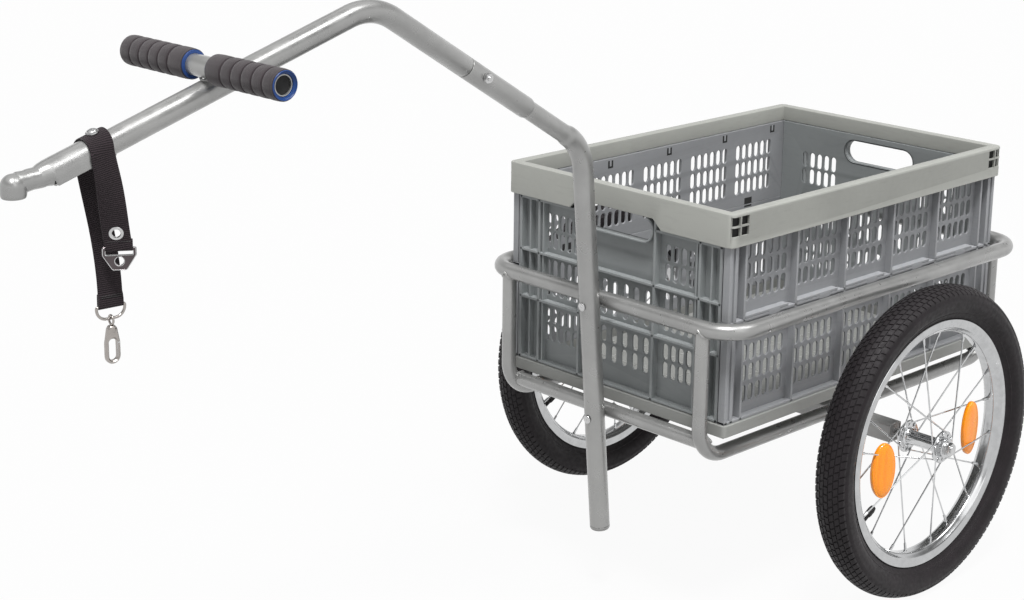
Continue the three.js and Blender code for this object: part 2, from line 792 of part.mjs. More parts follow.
const elbow = legPoint(loopZ + drawbar.elbowRise)
const rise = vec(Math.cos(riseAngle), 0, Math.sin(riseAngle))
const crown = elbow.clone().addScaledVector(rise, drawbar.crownAhead / Math.cos(riseAngle))
const fall = vec(Math.cos(fallAngle), 0, -Math.sin(fallAngle))
const fallNormal = vec(Math.sin(fallAngle), 0, Math.cos(fallAngle))
const frontPoint = (along) => crown.clone().addScaledVector(fall, along)
const tubeEnd = frontPoint(drawbar.frontLength)
const strapPoint = frontPoint(drawbar.frontLength - strap.fromTubeEnd)

function makeDrawbar(group) {
  const sides = 12
  const sleeveLow = elbow.clone().addScaledVector(rise, drawbar.sleeveFromElbow)
  const seam = sleeveLow.clone().addScaledVector(rise, drawbar.sleeveLength)
  const neckSetback = drawbar.elbowRadius * Math.tan((Math.PI / 2 - legLean - riseAngle) / 2)
  const neckStart = elbow.clone().addScaledVector(rise, neckSetback)
  const lowNeckEnd = sleeveLow.clone().addScaledVector(rise, drawbar.neckInset)
  const boltAt = seam.clone().addScaledVector(rise, -drawbar.boltFromSeam)
  const crossHole = rod(
    boltAt.clone().addScaledVector(yAxis, -barR - overrun),
    boltAt.clone().addScaledVector(yAxis, barR + overrun),
    bolt.radius + 2 * gap,
    8
  )
  const holes = [boltHole(loopZ), boltHole(lowerBoltZ)]

  // Leg and elbow at full diameter, then a swaged neck up into the sleeve.
  const bentEnd = neckStart.clone().addScaledVector(rise, overrun)
  const bent = bentPath([legPoint(drawbar.legBottom), elbow, bentEnd], drawbar.elbowRadius, 6)
  const neck = [neckStart, lowNeckEnd]
  const boreLow = neckStart.clone().addScaledVector(rise, -overrun)
  const neckBore = [boreLow, lowNeckEnd.clone().addScaledVector(rise, overrun)]
  const legBore = [bent[0].clone().addScaledVector(legAxis, -overrun), ...bent.slice(1)]
  const rear = cut(union([sweep(bent, barR, sides), sweep(neck, neckR, sides)]), [
    sweep(legBore, barR - drawbar.wall, 6),
    sweep(neckBore, neckR - drawbar.wall, 6),
    ...holes,
  ])
  addPiece(group, 'drawbar_rear_tube', rear, looks.silver)

  // Plug that closes the leg's foot.
  const foot = legPoint(drawbar.legBottom)
  const capRing = (along, radius) =>
    Array.from({ length: sides }, (_, i) => {
      const angle = (i * 2 * Math.PI) / sides
      return foot
        .clone()
        .addScaledVector(legAxis, along)
        .addScaledVector(yAxis, radius * Math.cos(angle))
        .addScaledVector(legNormal, radius * Math.sin(angle))
    })
  const plugR = (barR - drawbar.wall) * Math.cos(Math.PI / 6)
  const cap = loft([
    capRing(drawbar.capTuck, plugR - gap),
    capRing(-gap, plugR - gap),
    capRing(-gap, barR),
    capRing(-drawbar.capHeight / 2, barR),
    capRing(-drawbar.capHeight, plugR - drawbar.wall),
  ])
  addPiece(group, 'leg_end_cap', cap, looks.darkTube)

  // Sleeve with a clamping slit under its upper end.
  const sleevePath = [sleeveLow, seam]
  const slitHalf = drawbar.slitWidth / 2
  const slitLow = vec(-drawbar.slitLength, -slitHalf, -barR - overrun)
  const slit = block(slitLow, vec(drawbar.slitLength, slitHalf, 0))
    .rotate([0, -THREE.MathUtils.radToDeg(riseAngle), 0])
    .translate([seam.x, 0, seam.z])
  const sleeve = cut(hollowTube(sleevePath, barR, drawbar.sleeveWall, sides, sides), [slit, crossHole])
  addPiece(group, 'drawbar_sleeve', sleeve, looks.silver)

  // Front tube: swaged tail in the sleeve, crown bend, straight fall to a slanted open end.
  const frontStart = seam.clone().addScaledVector(rise, gap)
  const tailEnd = seam.clone().addScaledVector(rise, -drawbar.neckInset)
  const frontPath = bentPath([frontStart, crown, tubeEnd], drawbar.crownRadius, 6)
  const tailPath = [tailEnd, frontStart.clone().addScaledVector(rise, overrun)]
  const tailBore = [tailEnd.clone().addScaledVector(rise, -overrun), tailPath[1]]
  const frontBore = [...frontPath.slice(0, -1), tubeEnd.clone().addScaledVector(fall, overrun)]
  const slant = block(vec(0, -2 * barR, -3 * barR), vec(3 * barR, 2 * barR, 3 * barR))
    .rotate([0, -THREE.MathUtils.radToDeg(fallAngle), 0])
    .translate([tubeEnd.x - barR / 2, 0, tubeEnd.z])
  const strapHole = rod(
    strapPoint.clone().addScaledVector(fallNormal, -barR - overrun),
    strapPoint.clone().addScaledVector(fallNormal, barR + overrun),
    bolt.radius + 2 * gap,
    8
  )
  const front = cut(union([sweep(frontPath, barR, sides), sweep(tailPath, neckR, sides)]), [
    sweep(frontBore, barR - drawbar.wall, 6),
    sweep(tailBore, neckR - drawbar.wall, 6),
    crossHole,
    slant,
    strapHole,
  ])
  addPiece(group, 'drawbar_front_tube', front, looks.silver)
  const boltEnd = (sign) => boltAt.clone().addScaledVector(yAxis, sign * barR)
  addBolt(group, 'sleeve', boltEnd(1), boltEnd(-1))
  for (const [name, z] of [['leg_upper', loopZ], ['leg_lower', lowerBoltZ]]) {
    const { back, front: ahead } = legBoltEnds(z)
    addBolt(group, name, back, ahead)
  }
}

// Crossbar and grips

function makeHandle(group) {
  const alongFall = handle.barFromCrown / Math.cos(fallAngle)
  const seat = frontPoint(alongFall).addScaledVector(fallNormal, barR + handle.barRadius + gap)
  const half = handle.barLength / 2
  const bar = new THREE.Group()
  bar.position.copy(seat)
  const tube = hollowTube([vec(0, -half, 0), vec(0, half, 0)], handle.barRadius, handle.barWall, 14)
  addPiece(bar, 'handle_crossbar', tube, looks.silver)
  const sleeveIn = handle.barRadius / Math.cos(Math.PI / 12) + gap / 2
  const sleeveOut = sleeveIn + handle.sleeveWall
  const foamIn = sleeveOut + gap
  for (const [name, sign] of [['left', 1], ['right', -1]]) {
    const outerEnd = half - handle.fromEnd
    const start = outerEnd - handle.gripLength
    const f = handle.flangeThickness
    const sleeve = turned(
      [
        [sleeveIn, start],
        [handle.flangeRadius, start],
        [handle.flangeRadius, start + f],
        [sleeveOut, start + f],
        [sleeveOut, outerEnd - f],
        [handle.flangeRadius, outerEnd - f],
        [handle.flangeRadius, outerEnd],
        [sleeveIn, outerEnd],
      ],
      12
    )
    const foamStart = start + f + gap
    const foamLength = outerEnd - f - gap - foamStart
    const pitch = (foamLength - handle.firstRib) / (handle.ribs - 1)
    const waves = [[handle.gripRadius, foamStart]]
    for (let i = 1; i < handle.ribs; i++) {
      const middle = foamStart + handle.firstRib + (i - 1) * pitch
      const groove = handle.grooveWidth / 2
      waves.push(
        [handle.gripRadius, middle - groove],
        [handle.gripRadius - handle.grooveDepth, middle],
        [handle.gripRadius, middle + groove]
      )
    }
    waves.push([handle.gripRadius, foamStart + foamLength])
    const foam = turned([[foamIn, foamStart], ...waves, [foamIn, foamStart + foamLength]], 12)
    const placed = (body) => (sign > 0 ? body : body.rotate([0, 0, 180]))
    addPiece(bar, `grip_sleeve_${name}`, placed(sleeve), looks.blue)
    addPiece(bar, `grip_foam_${name}`, placed(foam), looks.foam)
  }
  group.add(bar)
}

// Coupling: a pressed socket with a neck and a saddle over the tube's end.

function makeCoupling(group) {
  const x = crown.x + coupling.socketAhead
  const mouth = crown.z - coupling.socketDrop
  const r = coupling.socketRadius
  const wall = coupling.socketWall
  const top = coupling.socketHeight
  const bell = (low, radius, steps, sides) => {
    const arc = Array.from({ length: steps }, (_, i) => {
      const angle = (i * Math.PI) / 2 / steps
      return [radius * Math.cos(angle), mouth + top - r + radius * Math.sin(angle)]
    })
    const profile = [[0, low], [radius, low], ...arc, [0, mouth + top - r + radius]]
    return solid(new THREE.LatheGeometry(profile.map(([a, b]) => new THREE.Vector2(a, b)), sides))
  }
  const dome = bell(mouth, r, 5, 20)
  const hollow = bell(mouth - overrun, r - wall, 4, 16)
  const standing = (body) => body.rotate([90, 0, 0]).translate([x, 0, 0])

  // Neck: rings from inside the dome's wall to the saddle's front.
  const saddleR = barR + gap + coupling.saddleWall
  const saddleFront = tubeEnd.clone()
  const saddleBack = tubeEnd.clone().addScaledVector(fall, -coupling.saddleLength)
  const neckSides = 12
  const section = (centre, halfWidth, halfHeight, tilt) =>
    Array.from({ length: neckSides }, (_, i) => {
      const angle = (i * 2 * Math.PI) / neckSides
      const up = vec(Math.sin(tilt), 0, Math.cos(tilt))
      return centre
        .clone()
        .addScaledVector(yAxis, halfWidth * Math.cos(angle))
        .addScaledVector(up, halfHeight * Math.sin(angle))
    })
  const neckHeight = mouth + top * neckShares.height
  const neckNear = vec(x - r * neckShares.reach, 0, neckHeight)
  const neckMid = vec(x - r - coupling.neckLength * neckShares.middle, 0, neckHeight + wall)
  const neckFar = saddleFront.clone().addScaledVector(fallNormal, wall)
  const neck = loft([
    section(neckNear, coupling.neckHalfWidth, coupling.neckHalfHeight, 0),
    section(neckMid, coupling.neckHalfWidth, coupling.neckHalfHeight, fallAngle / 2),
    section(neckFar, saddleR * neckShares.farWidth, saddleR * neckShares.farHeight, fallAngle),
    section(saddleFront.clone().addScaledVector(fall, -overrun), saddleR, saddleR, fallAngle),
  ])

  // Saddle: a round top with straight sides, open below, along the tube.
  const round = new THREE.Shape()
  round.absarc(0, 0, saddleR, 0, Math.PI)
  round.lineTo(-saddleR, -coupling.saddleSkirt)
  round.lineTo(saddleR, -coupling.saddleSkirt)
  const raw = new THREE.ExtrudeGeometry(round, {
    depth: coupling.saddleLength,
    bevelEnabled: false,
    curveSegments: 10,
  })
  const toWorld = new THREE.Matrix4().makeBasis(yAxis, fallNormal, fall)
  toWorld.setPosition(saddleBack)
  raw.applyMatrix4(toWorld)
  const roomBack = saddleBack.clone().addScaledVector(fall, -overrun)
  const tubeRoom = sweep([roomBack, saddleFront.clone().addScaledVector(fall, gap)], barR + gap, 16)
  const openHalf = barR + gap
  const slot = new THREE.ExtrudeGeometry(
    new THREE.Shape([
      new THREE.Vector2(-openHalf, 0),
      new THREE.Vector2(-openHalf, -2 * saddleR),
      new THREE.Vector2(openHalf, -2 * saddleR),
      new THREE.Vector2(openHalf, 0),
    ]),
    { depth: coupling.saddleLength + 2 * overrun, bevelEnabled: false }
  )
  slot.applyMatrix4(toWorld.clone().setPosition(roomBack))
  const holeTop = strapPoint.clone().addScaledVector(fallNormal, barR + coupling.saddleWall + overrun)
  const boltHoleCut = rod(strapPoint, holeTop, bolt.radius + 2 * gap, 8)
  const blank = union([standing(dome), neck, solid(raw)])
  const shell = cut(blank, [standing(hollow), tubeRoom, solid(slot), boltHoleCut])
  addPiece(group, 'coupling_shell', shell, looks.silver)
}

// Safety strap with its fittings

const strapTop = barR + 3 * gap + coupling.saddleWall + strap.thickness / 2
const nearHang = { y: strapTop - strap.nearStray, z: strapPoint.z - strap.nearDrop, back: strap.nearBack }
const farHang = { y: strap.farStray - strapTop, z: strapPoint.z - strap.farDrop, back: strap.farBack }

// The strap's middle line runs up the far tail, over the saddle and down the near tail.
function strapStations() {
  const stations = []
  const wrapSteps = 8
  const tailSteps = 5
  const over = (angle) => {
    const reach = vec(0, strapTop * Math.sin(angle), 0)
    reach.addScaledVector(fallNormal, strapTop * Math.cos(angle))
    const ahead = strapTop * Math.tan(fallAngle) * (1 - Math.cos(angle))
    const at = strapPoint.clone().add(reach).addScaledVector(fall, ahead)
    return { at, out: reach.normalize(), across: fall.clone() }
  }
  const tail = (sign, hang, twist) => {
    const start = over((sign * Math.PI) / 2)
    return Array.from({ length: tailSteps }, (_, i) => {
      const t = (i + 1) / tailSteps
      const ease = THREE.MathUtils.smoothstep(t, 1 / tailSteps, 1)
      const y = start.at.y + (hang.y - start.at.y) * ease
      const at = vec(start.at.x - hang.back * t, y, start.at.z + (hang.z - start.at.z) * t)
      const turn = twist * THREE.MathUtils.smoothstep(t, 0, 1 - 1 / tailSteps)
      const level = new THREE.Vector3().lerpVectors(fall, vec(1, 0, 0), Math.min(2 * t, 1)).normalize()
      const across = level.applyAxisAngle(zAxis, turn)
      const out = across.clone().cross(zAxis).multiplyScalar(-sign).normalize()
      return { at, out, across }
    })
  }
  for (const s of tail(-1, farHang, farTwist).reverse()) stations.push(s)
  for (let i = 0; i <= wrapSteps; i++) stations.push(over(-Math.PI / 2 + (i * Math.PI) / wrapSteps))
  for (const s of tail(1, nearHang, -nearTwist)) stations.push(s)
  return stations
}

function makeStrap(group) {
  const stations = strapStations()
  const rings = stations.map(({ at, out, across }) =>
    [[-1, -1], [1, -1], [1, 1], [-1, 1]].map(([a, b]) =>
      at
        .clone()
        .addScaledVector(across, (a * strap.width) / 2)
        .addScaledVector(out, (b * strap.thickness) / 2)
    )
  )
  const boltTop = strapPoint.clone().addScaledVector(fallNormal, strapTop + overrun)
  const boltCut = rod(strapPoint, boltTop, bolt.radius + 2 * gap, 8)
  const nearEnd = stations[stations.length - 1]
  const farEnd = stations[0]
  const hem = (station) => {
    const basis = new THREE.Matrix4().makeBasis(station.across, zAxis, station.across.clone().cross(zAxis))
    const shape = new THREE.BoxGeometry(strap.width, strap.hem, strap.hemThickness)
    shape.translate(0, strap.hem / 2 - overrun, 0)
    basis.setPosition(station.at)
    shape.applyMatrix4(basis)
    return solid(shape)
  }
  const channel = (station, radius) => {
    const from = station.at.clone().addScaledVector(station.across, -strap.width)
    return rod(from, station.at.clone().addScaledVector(station.across, strap.width), radius, 10)
  }
  const above = stations[stations.length - 2]
  const share = (above.at.z - strapPoint.z + strap.eyeDrop) / (above.at.z - nearEnd.at.z)
  const eyeStation = { at: above.at.clone().lerp(nearEnd.at, share) }
  const eyeAxis = nearEnd.at.clone().sub(above.at).cross(nearEnd.across).normalize()
  const eyeCut = rod(
    eyeStation.at.clone().addScaledVector(eyeAxis, -overrun),
    eyeStation.at.clone().addScaledVector(eyeAxis, overrun),
    strap.eyeRadius + 2 * gap,
    12
  )
  const body = cut(union([loft(rings), hem(nearEnd), hem(farEnd)]), [
    boltCut,
    eyeCut,
    channel(nearEnd, plate.barHeight / 2 + 2 * gap),
    channel(farEnd, ring.wire / 2 + gap),
  ])
  addPiece(group, 'safety_strap', body, looks.webbing)

  // Eyelet: a rolled ring through the near tail.
  const lip = strap.thickness / 2 + strap.eyeletLip
  const eyelet = turned(
    [
      [strap.eyeRadius - strap.eyeletLip, -lip],
      [strap.eyeletRadius, -lip],
      [strap.eyeletRadius, -strap.thickness / 2 - gap],
      [strap.eyeRadius, -strap.thickness / 2 - gap],
      [strap.eyeRadius, strap.thickness / 2 + gap],
      [strap.eyeletRadius, strap.thickness / 2 + gap],
      [strap.eyeletRadius, lip],
      [strap.eyeRadius - strap.eyeletLip, lip],
    ],
    16
  )
  const piece = addPiece(group, 'strap_eyelet', eyelet, looks.zinc)
  piece.quaternion.setFromUnitVectors(yAxis, eyeAxis)
  piece.position.copy(eyeStation.at)
  const strapFoot = strapPoint.clone().addScaledVector(fallNormal, -barR)
  const strapHead = strapPoint.clone().addScaledVector(fallNormal, strapTop + strap.thickness / 2)
  addBolt(group, 'strap', strapHead, strapFoot)
  return { nearEnd, farEnd }
}

// Things that hang from the strap's two ends

function hangGroup(station) {
  const group = new THREE.Group()
  const basis = new THREE.Matrix4().makeBasis(station.across, zAxis.clone().cross(station.across), zAxis)
  group.quaternion.setFromRotationMatrix(basis)
  group.position.copy(station.at)
  return group
}

// Three-cornered plate: its top bar lies in the strap's fold, its hole takes the snap hook.
function makePlate(group) {
  const halfW = plate.width / 2
  const bar = plate.barHeight / 2
  const slotHalf = strap.width / 2 + gap
  const c = plate.corner
  const corners = [
    vec(-halfW, 0, bar),
    vec(halfW, 0, bar),
    vec(halfW, 0, -bar - plate.slotHeight),
    vec(plate.tip, 0, bar - plate.height),
    vec(-plate.tip, 0, bar - plate.height),
    vec(-halfW, 0, -bar - plate.slotHeight),
  ]
  const outline = bentPath(corners, [bar, bar, c, c, c, c], 3, true)
  const shape = new THREE.Shape(outline.map((p) => new THREE.Vector2(p.x, p.z)))
  const holeZ = -2 * bar - plate.slotHeight - plate.holeRadius
  const slot = block(vec(-slotHalf, -overrun, -bar - plate.slotHeight), vec(slotHalf, overrun, -bar))
  const hole = rod(vec(0, -overrun, holeZ), vec(0, overrun, holeZ), plate.holeRadius, 14)
  const body = cut(slab(shape, plate.thickness).translate([0, -plate.thickness / 2, 0]), [slot, hole])
  addPiece(group, 'strap_plate', body, looks.zinc)
}

// D-ring: a straight bar in the strap's fold and a round bow below it.
function makeRing(group) {
  const half = ring.width / 2 - ring.wire / 2
  const bow = ring.height - ring.wire
  const corners = [vec(-half, 0, 0), vec(half, 0, 0), vec(half, 0, -bow), vec(-half, 0, -bow)]
  const path = bentPath(corners, [ring.corner, ring.corner, bow * bowShare, bow * bowShare], 4, true)
  const flat = path.map((p) => vec(p.x, p.z, 0))
  addPiece(group, 'strap_ring', levelLoop(flat, ring.wire / 2, 6).rotate([90, 0, 0]), looks.zinc)
  return -bow
}

// Swivel eye round the D-ring's bow, with the stud that the hook turns on.
function makeSwivel(group) {
  const eye = hook.eyeRadius
  const eyeSides = 12
  const loopPath = Array.from({ length: eyeSides }, (_, i) => {
    const angle = (i * 2 * Math.PI) / eyeSides
    return vec(eye * Math.cos(angle), eye * Math.sin(angle), 0)
  })
  const loopSolid = levelLoop(loopPath, hook.eyeWire / 2, 6).rotate([90, 0, 90])
  const studTop = -eye
  const studLow = studTop - hook.eyeWire - hook.collarHeight - gap
  const stud = rod(vec(0, 0, studTop), vec(0, 0, studLow - hook.stemRadius), hook.stemRadius, 10)
  const buttonR = hook.stemRadius + hook.eyeWire / 2
  const button = rod(vec(0, 0, studLow - gap), vec(0, 0, studLow - hook.stemRadius), buttonR, 10)
  addPiece(group, 'swivel_eye', union([loopSolid, stud, button]), looks.zinc)
  return studTop - hook.eyeWire / 2 - gap
}

function hookOutline() {
  const half = hook.width / 2
  const low = -hook.height
  const corners = [
    vec(-half * hookShares.shoulder, 0, 0),
    vec(half * hookShares.shoulder, 0, 0),
    vec(half, low * hookShares.waist, 0),
    vec(half, low, 0),
    vec(-half, low, 0),
    vec(-half, low * hookShares.waist, 0),
  ]
  return bentPath(corners, hookBendShares.map((share) => half * share), 4, true)
}

// Snap hook: a collar on the stud, a solid shoulder and a bow that a sprung gate closes.
function makeHook(group) {
  const outer = new THREE.Shape(hookOutline().map((p) => new THREE.Vector2(p.x, p.y)))
  const innerHalf = hook.width / 2 - hook.wall
  const inner = bentPath(
    [
      vec(-innerHalf, -hook.shoulderHeight, 0),
      vec(innerHalf, -hook.shoulderHeight, 0),
      vec(innerHalf, hook.wall - hook.height, 0),
      vec(-innerHalf, hook.wall - hook.height, 0),
    ],
    innerHalf * hookShares.roomBend,
    4,
    true
  )
  const room = new THREE.Shape(inner.map((p) => new THREE.Vector2(p.x, p.y)))
  const roomBody = slab(room, hook.thickness + 2 * overrun).translate([0, -hook.thickness / 2 - overrun, 0])
  const half = hook.thickness / 2
  const gateTop = -hook.shoulderHeight - hook.wall / 2
  const gateLow = (3 * hook.wall) / 2 - hook.height
  const throat = block(vec(-hook.width, -hook.thickness, gateLow), vec(0, hook.thickness, gateTop))
  const studRoom = rod(vec(0, 0, overrun), vec(0, 0, -hook.collarHeight - gap), hook.stemRadius + gap, 10)
  const buttonRoom = rod(
    vec(0, 0, -hook.collarHeight + gap),
    vec(0, 0, -hook.collarHeight - hook.buttonHeight),
    hook.stemRadius + hook.eyeWire / 2 + gap,
    10
  )
  const blank = slab(outer, hook.thickness).translate([0, -half, 0])
  const body = cut(blank, [roomBody, throat, studRoom, buttonRoom])
  addPiece(group, 'snap_hook', body, looks.zinc)
  const gateX = hook.wall * hookShares.gatePlace - hook.width / 2
  const gateWidth = hook.wall * hookShares.gateWidth
  const gate = new THREE.BoxGeometry(gateWidth, hook.gateThickness, gateTop - gateLow - 4 * gap)
  gate.translate(gateX, 0, (gateTop + gateLow) / 2 - gap)
  addPiece(group, 'snap_hook_gate', solid(gate), looks.zinc)
}

function makeHangers(group, ends) {
  const plateGroup = hangGroup(ends.nearEnd)
  makePlate(plateGroup)
  const ringGroup = hangGroup(ends.farEnd)
  const bowZ = makeRing(ringGroup)
  const eyeGroup = new THREE.Group()
  eyeGroup.position.set(0, 0, bowZ - hook.eyeRadius + ring.wire / 2 + hook.eyeWire / 2 + gap)
  const hookZ = makeSwivel(eyeGroup)
  const hookGroup = new THREE.Group()
  hookGroup.position.set(0, 0, hookZ)
  makeHook(hookGroup)
  eyeGroup.add(hookGroup)
  ringGroup.add(eyeGroup)
  group.add(plateGroup, ringGroup)
}

// Crate

// Heights in the crate are above its bottom.
const crateHalfX = crate.fullLength / 2
const crateHalfY = crate.width / 2
const panelTop = crate.height - crate.lipHeight - gap
const wallX = crateHalfX - crate.wallInset
const wallY = crateHalfY - crate.wallInset

// A moulded wall: slotted plate inside, ribs and edge flanges standing out from it towards +Y.
function ribbedPanel({ halfLength, low, high, slots, ribsAt, flangesAt, additions = [] }) {
  const shape = new THREE.Shape([
    new THREE.Vector2(-halfLength, low),
    new THREE.Vector2(halfLength, low),
    new THREE.Vector2(halfLength, high),
    new THREE.Vector2(-halfLength, high),
  ])
  const far = crate.plate + overrun
  const openings = slots.map(([x, z, w, h]) => block(vec(x, -overrun, z), vec(x + w, far, z + h)))
  const ribHalf = crate.rib / 2
  const upright = (x) => block(vec(x - ribHalf, 0, low), vec(x + ribHalf, crate.panelDepth, high))
  const level = (z) => block(vec(-halfLength, 0, z), vec(halfLength, crate.panelDepth, z + crate.flange))
  const sheet = cut(slab(shape, crate.plate), openings)
  return union([sheet, ...ribsAt.map(upright), ...flangesAt.map(level), ...additions])
}

const bayLength = (2 * wallX - 2 * side.cornerBay) / side.bays

function sideSlots(fieldBottom) {
  const slots = []
  const field = bayLength - 2 * side.slotMargin
  const pitch = (field - side.slotWidth) / (side.slotColumns - 1)
  for (let bay = 0; bay < side.bays; bay++) {
    const middle = (bay - (side.bays - 1) / 2) * bayLength
    for (let column = 0; column < side.slotColumns; column++) {
      slots.push([middle - field / 2 + column * pitch, fieldBottom, side.slotWidth, side.slotHeight])
    }
  }
  return slots
}

function makeSideWalls(group) {
  const ribsAt = []
  for (let i = 0; i <= side.bays; i++) ribsAt.push((i - side.bays / 2) * bayLength)
  ribsAt.push(crate.rib / 2 - wallX, wallX - crate.rib / 2)
  const halves = [
    ['lower', crate.plinthHeight + gap, crate.splitHeight - gap, side.lowerField],
    ['upper', crate.splitHeight, panelTop, side.upperField],
  ]
  for (const [level, low, high, fieldBottom] of halves) {
    const panel = ribbedPanel({
      halfLength: wallX,
      low,
      high,
      slots: sideSlots(fieldBottom),
      ribsAt,
      flangesAt: [low, high - crate.flange],
    })
    for (const [name, turn] of [['left', 0], ['right', Math.PI]]) {
      const wall = new THREE.Group()
      wall.rotation.z = turn
      const piece = addPiece(wall, `crate_side_${level}_${name}`, panel, looks.wallPlastic)
      piece.position.y = wallY - crate.panelDepth
      group.add(wall)
    }
  }
}

function endSlots() {
  const slots = []
  const group = (left, width, columns, rows) => {
    const pitch = (width - end.slotWidth) / (columns - 1)
    for (let column = 0; column < columns; column++) {
      const x = left + column * pitch
      for (const row of rows) slots.push([x, end.rowBottoms[row], end.slotWidth, end.rowHeights[row]])
    }
  }
  const every = end.rowBottoms.map((_, i) => i)
  group(end.groupInner, end.groupWidth, end.slotColumns, every)
  group(-end.groupInner - end.groupWidth, end.groupWidth, end.slotColumns, every)
  group(-end.centreWidth / 2, end.centreWidth, end.centreColumns, every.slice(0, end.centreRows))
  return slots
}

function makeEndWalls(group) {
  const halfLength = wallY - crate.panelDepth - gap
  const low = crate.plinthHeight + 3 * gap
  const holeMiddle = crate.height - end.holeDrop + end.holeHeight / 2
  const lipShape = stadium(end.holeLength + 2 * end.lip, end.holeHeight + 2 * end.lip, holeMiddle)
  const handShape = stadium(end.holeLength, end.holeHeight, holeMiddle)
  const handRoom = slab(handShape, crate.panelDepth + 2 * overrun, 6).translate([0, -overrun, 0])
  const uprights = end.ribPlaces.flatMap((x) => [x, -x])
  const panel = ribbedPanel({
    halfLength,
    low,
    high: panelTop,
    slots: endSlots(),
    ribsAt: [...uprights, halfLength - crate.rib / 2, crate.rib / 2 - halfLength],
    flangesAt: [low, panelTop - crate.flange, ...end.ribHeights],
    additions: [slab(lipShape, crate.panelDepth, 6)],
  })
  const body = cut(panel, [handRoom])
  for (const [name, turn] of [['front', -Math.PI / 2], ['rear', Math.PI / 2]]) {
    const wall = new THREE.Group()
    wall.rotation.z = turn
    const piece = addPiece(wall, `crate_end_${name}`, body, looks.endPlastic)
    piece.position.y = wallX - crate.panelDepth
    group.add(wall)
  }
}

function makeCrate(parent) {
  const group = new THREE.Group()
  group.position.set(crate.centre, 0, crateBottom)
  const inset = crate.plinthInset
  const trayShape = roundedRectangle(crateHalfX - inset, crateHalfY - inset, crate.corner)
  const innerX = wallX - crate.panelDepth
  const innerY = wallY - crate.panelDepth
  const trayIn = block(vec(-innerX, -innerY, crate.floor), vec(innerX, innerY, crate.plinthHeight + overrun))
  addPiece(group, 'crate_base', cut(plateau(trayShape, crate.plinthHeight), [trayIn]), looks.rimPlastic)

  const w = crate.rimWidth
  const t = crate.rimWall
  const h = crate.rimHeight
  const rimOut = plateau(roundedRectangle(crateHalfX, crateHalfY, crate.corner), h)
  const inside = (wall, top) =>
    block(vec(wall - crateHalfX, wall - crateHalfY, -overrun), vec(crateHalfX - wall, crateHalfY - wall, top))
  const rimIn = inside(w, h + overrun)
  const channelOut = inside(t, h - t)
  const lip = w - t
  const lipX = crateHalfX - lip
  const lipY = crateHalfY - lip
  const keep = block(vec(-lipX, -lipY, h - crate.lipHeight), vec(lipX, lipY, h))
  const channel = cut(channelOut, [keep])
  const notch = new THREE.Shape([
    new THREE.Vector2(-crate.notchWide / 2, -overrun),
    new THREE.Vector2(crate.notchWide / 2, -overrun),
    new THREE.Vector2(crate.notchWide / 2, 0),
    new THREE.Vector2(crate.notchNarrow / 2, crate.notchRise),
    new THREE.Vector2(-crate.notchNarrow / 2, crate.notchRise),
    new THREE.Vector2(-crate.notchWide / 2, 0),
  ])
  const through = slab(notch, crate.fullLength + 2 * overrun)
    .translate([0, -crateHalfX - overrun, 0])
    .rotate([0, 0, 90])
  const rim = cut(rimOut, [rimIn, channel, through]).translate([0, 0, crate.height - h])
  addPiece(group, 'crate_rim', rim, looks.rimPlastic)
  makeSideWalls(group)
  makeEndWalls(group)
  parent.add(group)
}

// Assembly

const trailer = new THREE.Group()
trailer.add(makeWheel('left', 1), makeWheel('right', -1))
makeAxle(trailer)
makeFrame(trailer)
makeDrawbar(trailer)
makeHandle(trailer)
makeCoupling(trailer)
makeHangers(trailer, makeStrap(trailer))
makeCrate(trailer)

// The finished part stands with its middle over the origin.
trailer.updateMatrixWorld(true)
const reach = new THREE.Box3().setFromObject(trailer)
trailer.position.x = -(reach.min.x + reach.max.x) / 2

export default trailer
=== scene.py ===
import math
import random

import bmesh
import bpy
from mathutils import Matrix, Vector


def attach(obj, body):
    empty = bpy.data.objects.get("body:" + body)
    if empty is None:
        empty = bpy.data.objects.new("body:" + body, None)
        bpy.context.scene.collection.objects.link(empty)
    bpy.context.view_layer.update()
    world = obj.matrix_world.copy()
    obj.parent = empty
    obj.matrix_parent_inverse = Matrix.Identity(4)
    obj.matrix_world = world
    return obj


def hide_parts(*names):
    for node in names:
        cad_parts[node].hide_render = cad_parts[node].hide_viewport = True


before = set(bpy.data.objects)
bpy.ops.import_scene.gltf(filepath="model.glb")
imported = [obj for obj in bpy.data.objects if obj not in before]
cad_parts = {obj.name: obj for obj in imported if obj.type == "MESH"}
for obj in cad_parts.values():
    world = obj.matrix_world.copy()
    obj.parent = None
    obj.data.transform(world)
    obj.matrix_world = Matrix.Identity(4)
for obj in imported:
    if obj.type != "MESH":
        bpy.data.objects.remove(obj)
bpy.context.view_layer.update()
scene = bpy.context.scene
scene.view_settings.view_transform = "Standard"
dice = random.Random(7)
print("trailer: frame loaded with", len(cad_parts), "nodes")

# Sizes are in millimetres and x is measured from the axle. makePiece turns them into metres.
axleX = -398.4233
xAxis, yAxis, zAxis = Vector((1, 0, 0)), Vector((0, 1, 0)), Vector((0, 0, 1))

# Camera, floor and light

shot = {
    "place": (1.60859, 1.60405, 1.10067),  # metres
    "yaw": 226.475,
    "pitch": 14.975,
    "roll": -0.482,
    "lens": 70.93,
    "shift": (0.01925, -0.0731),
}


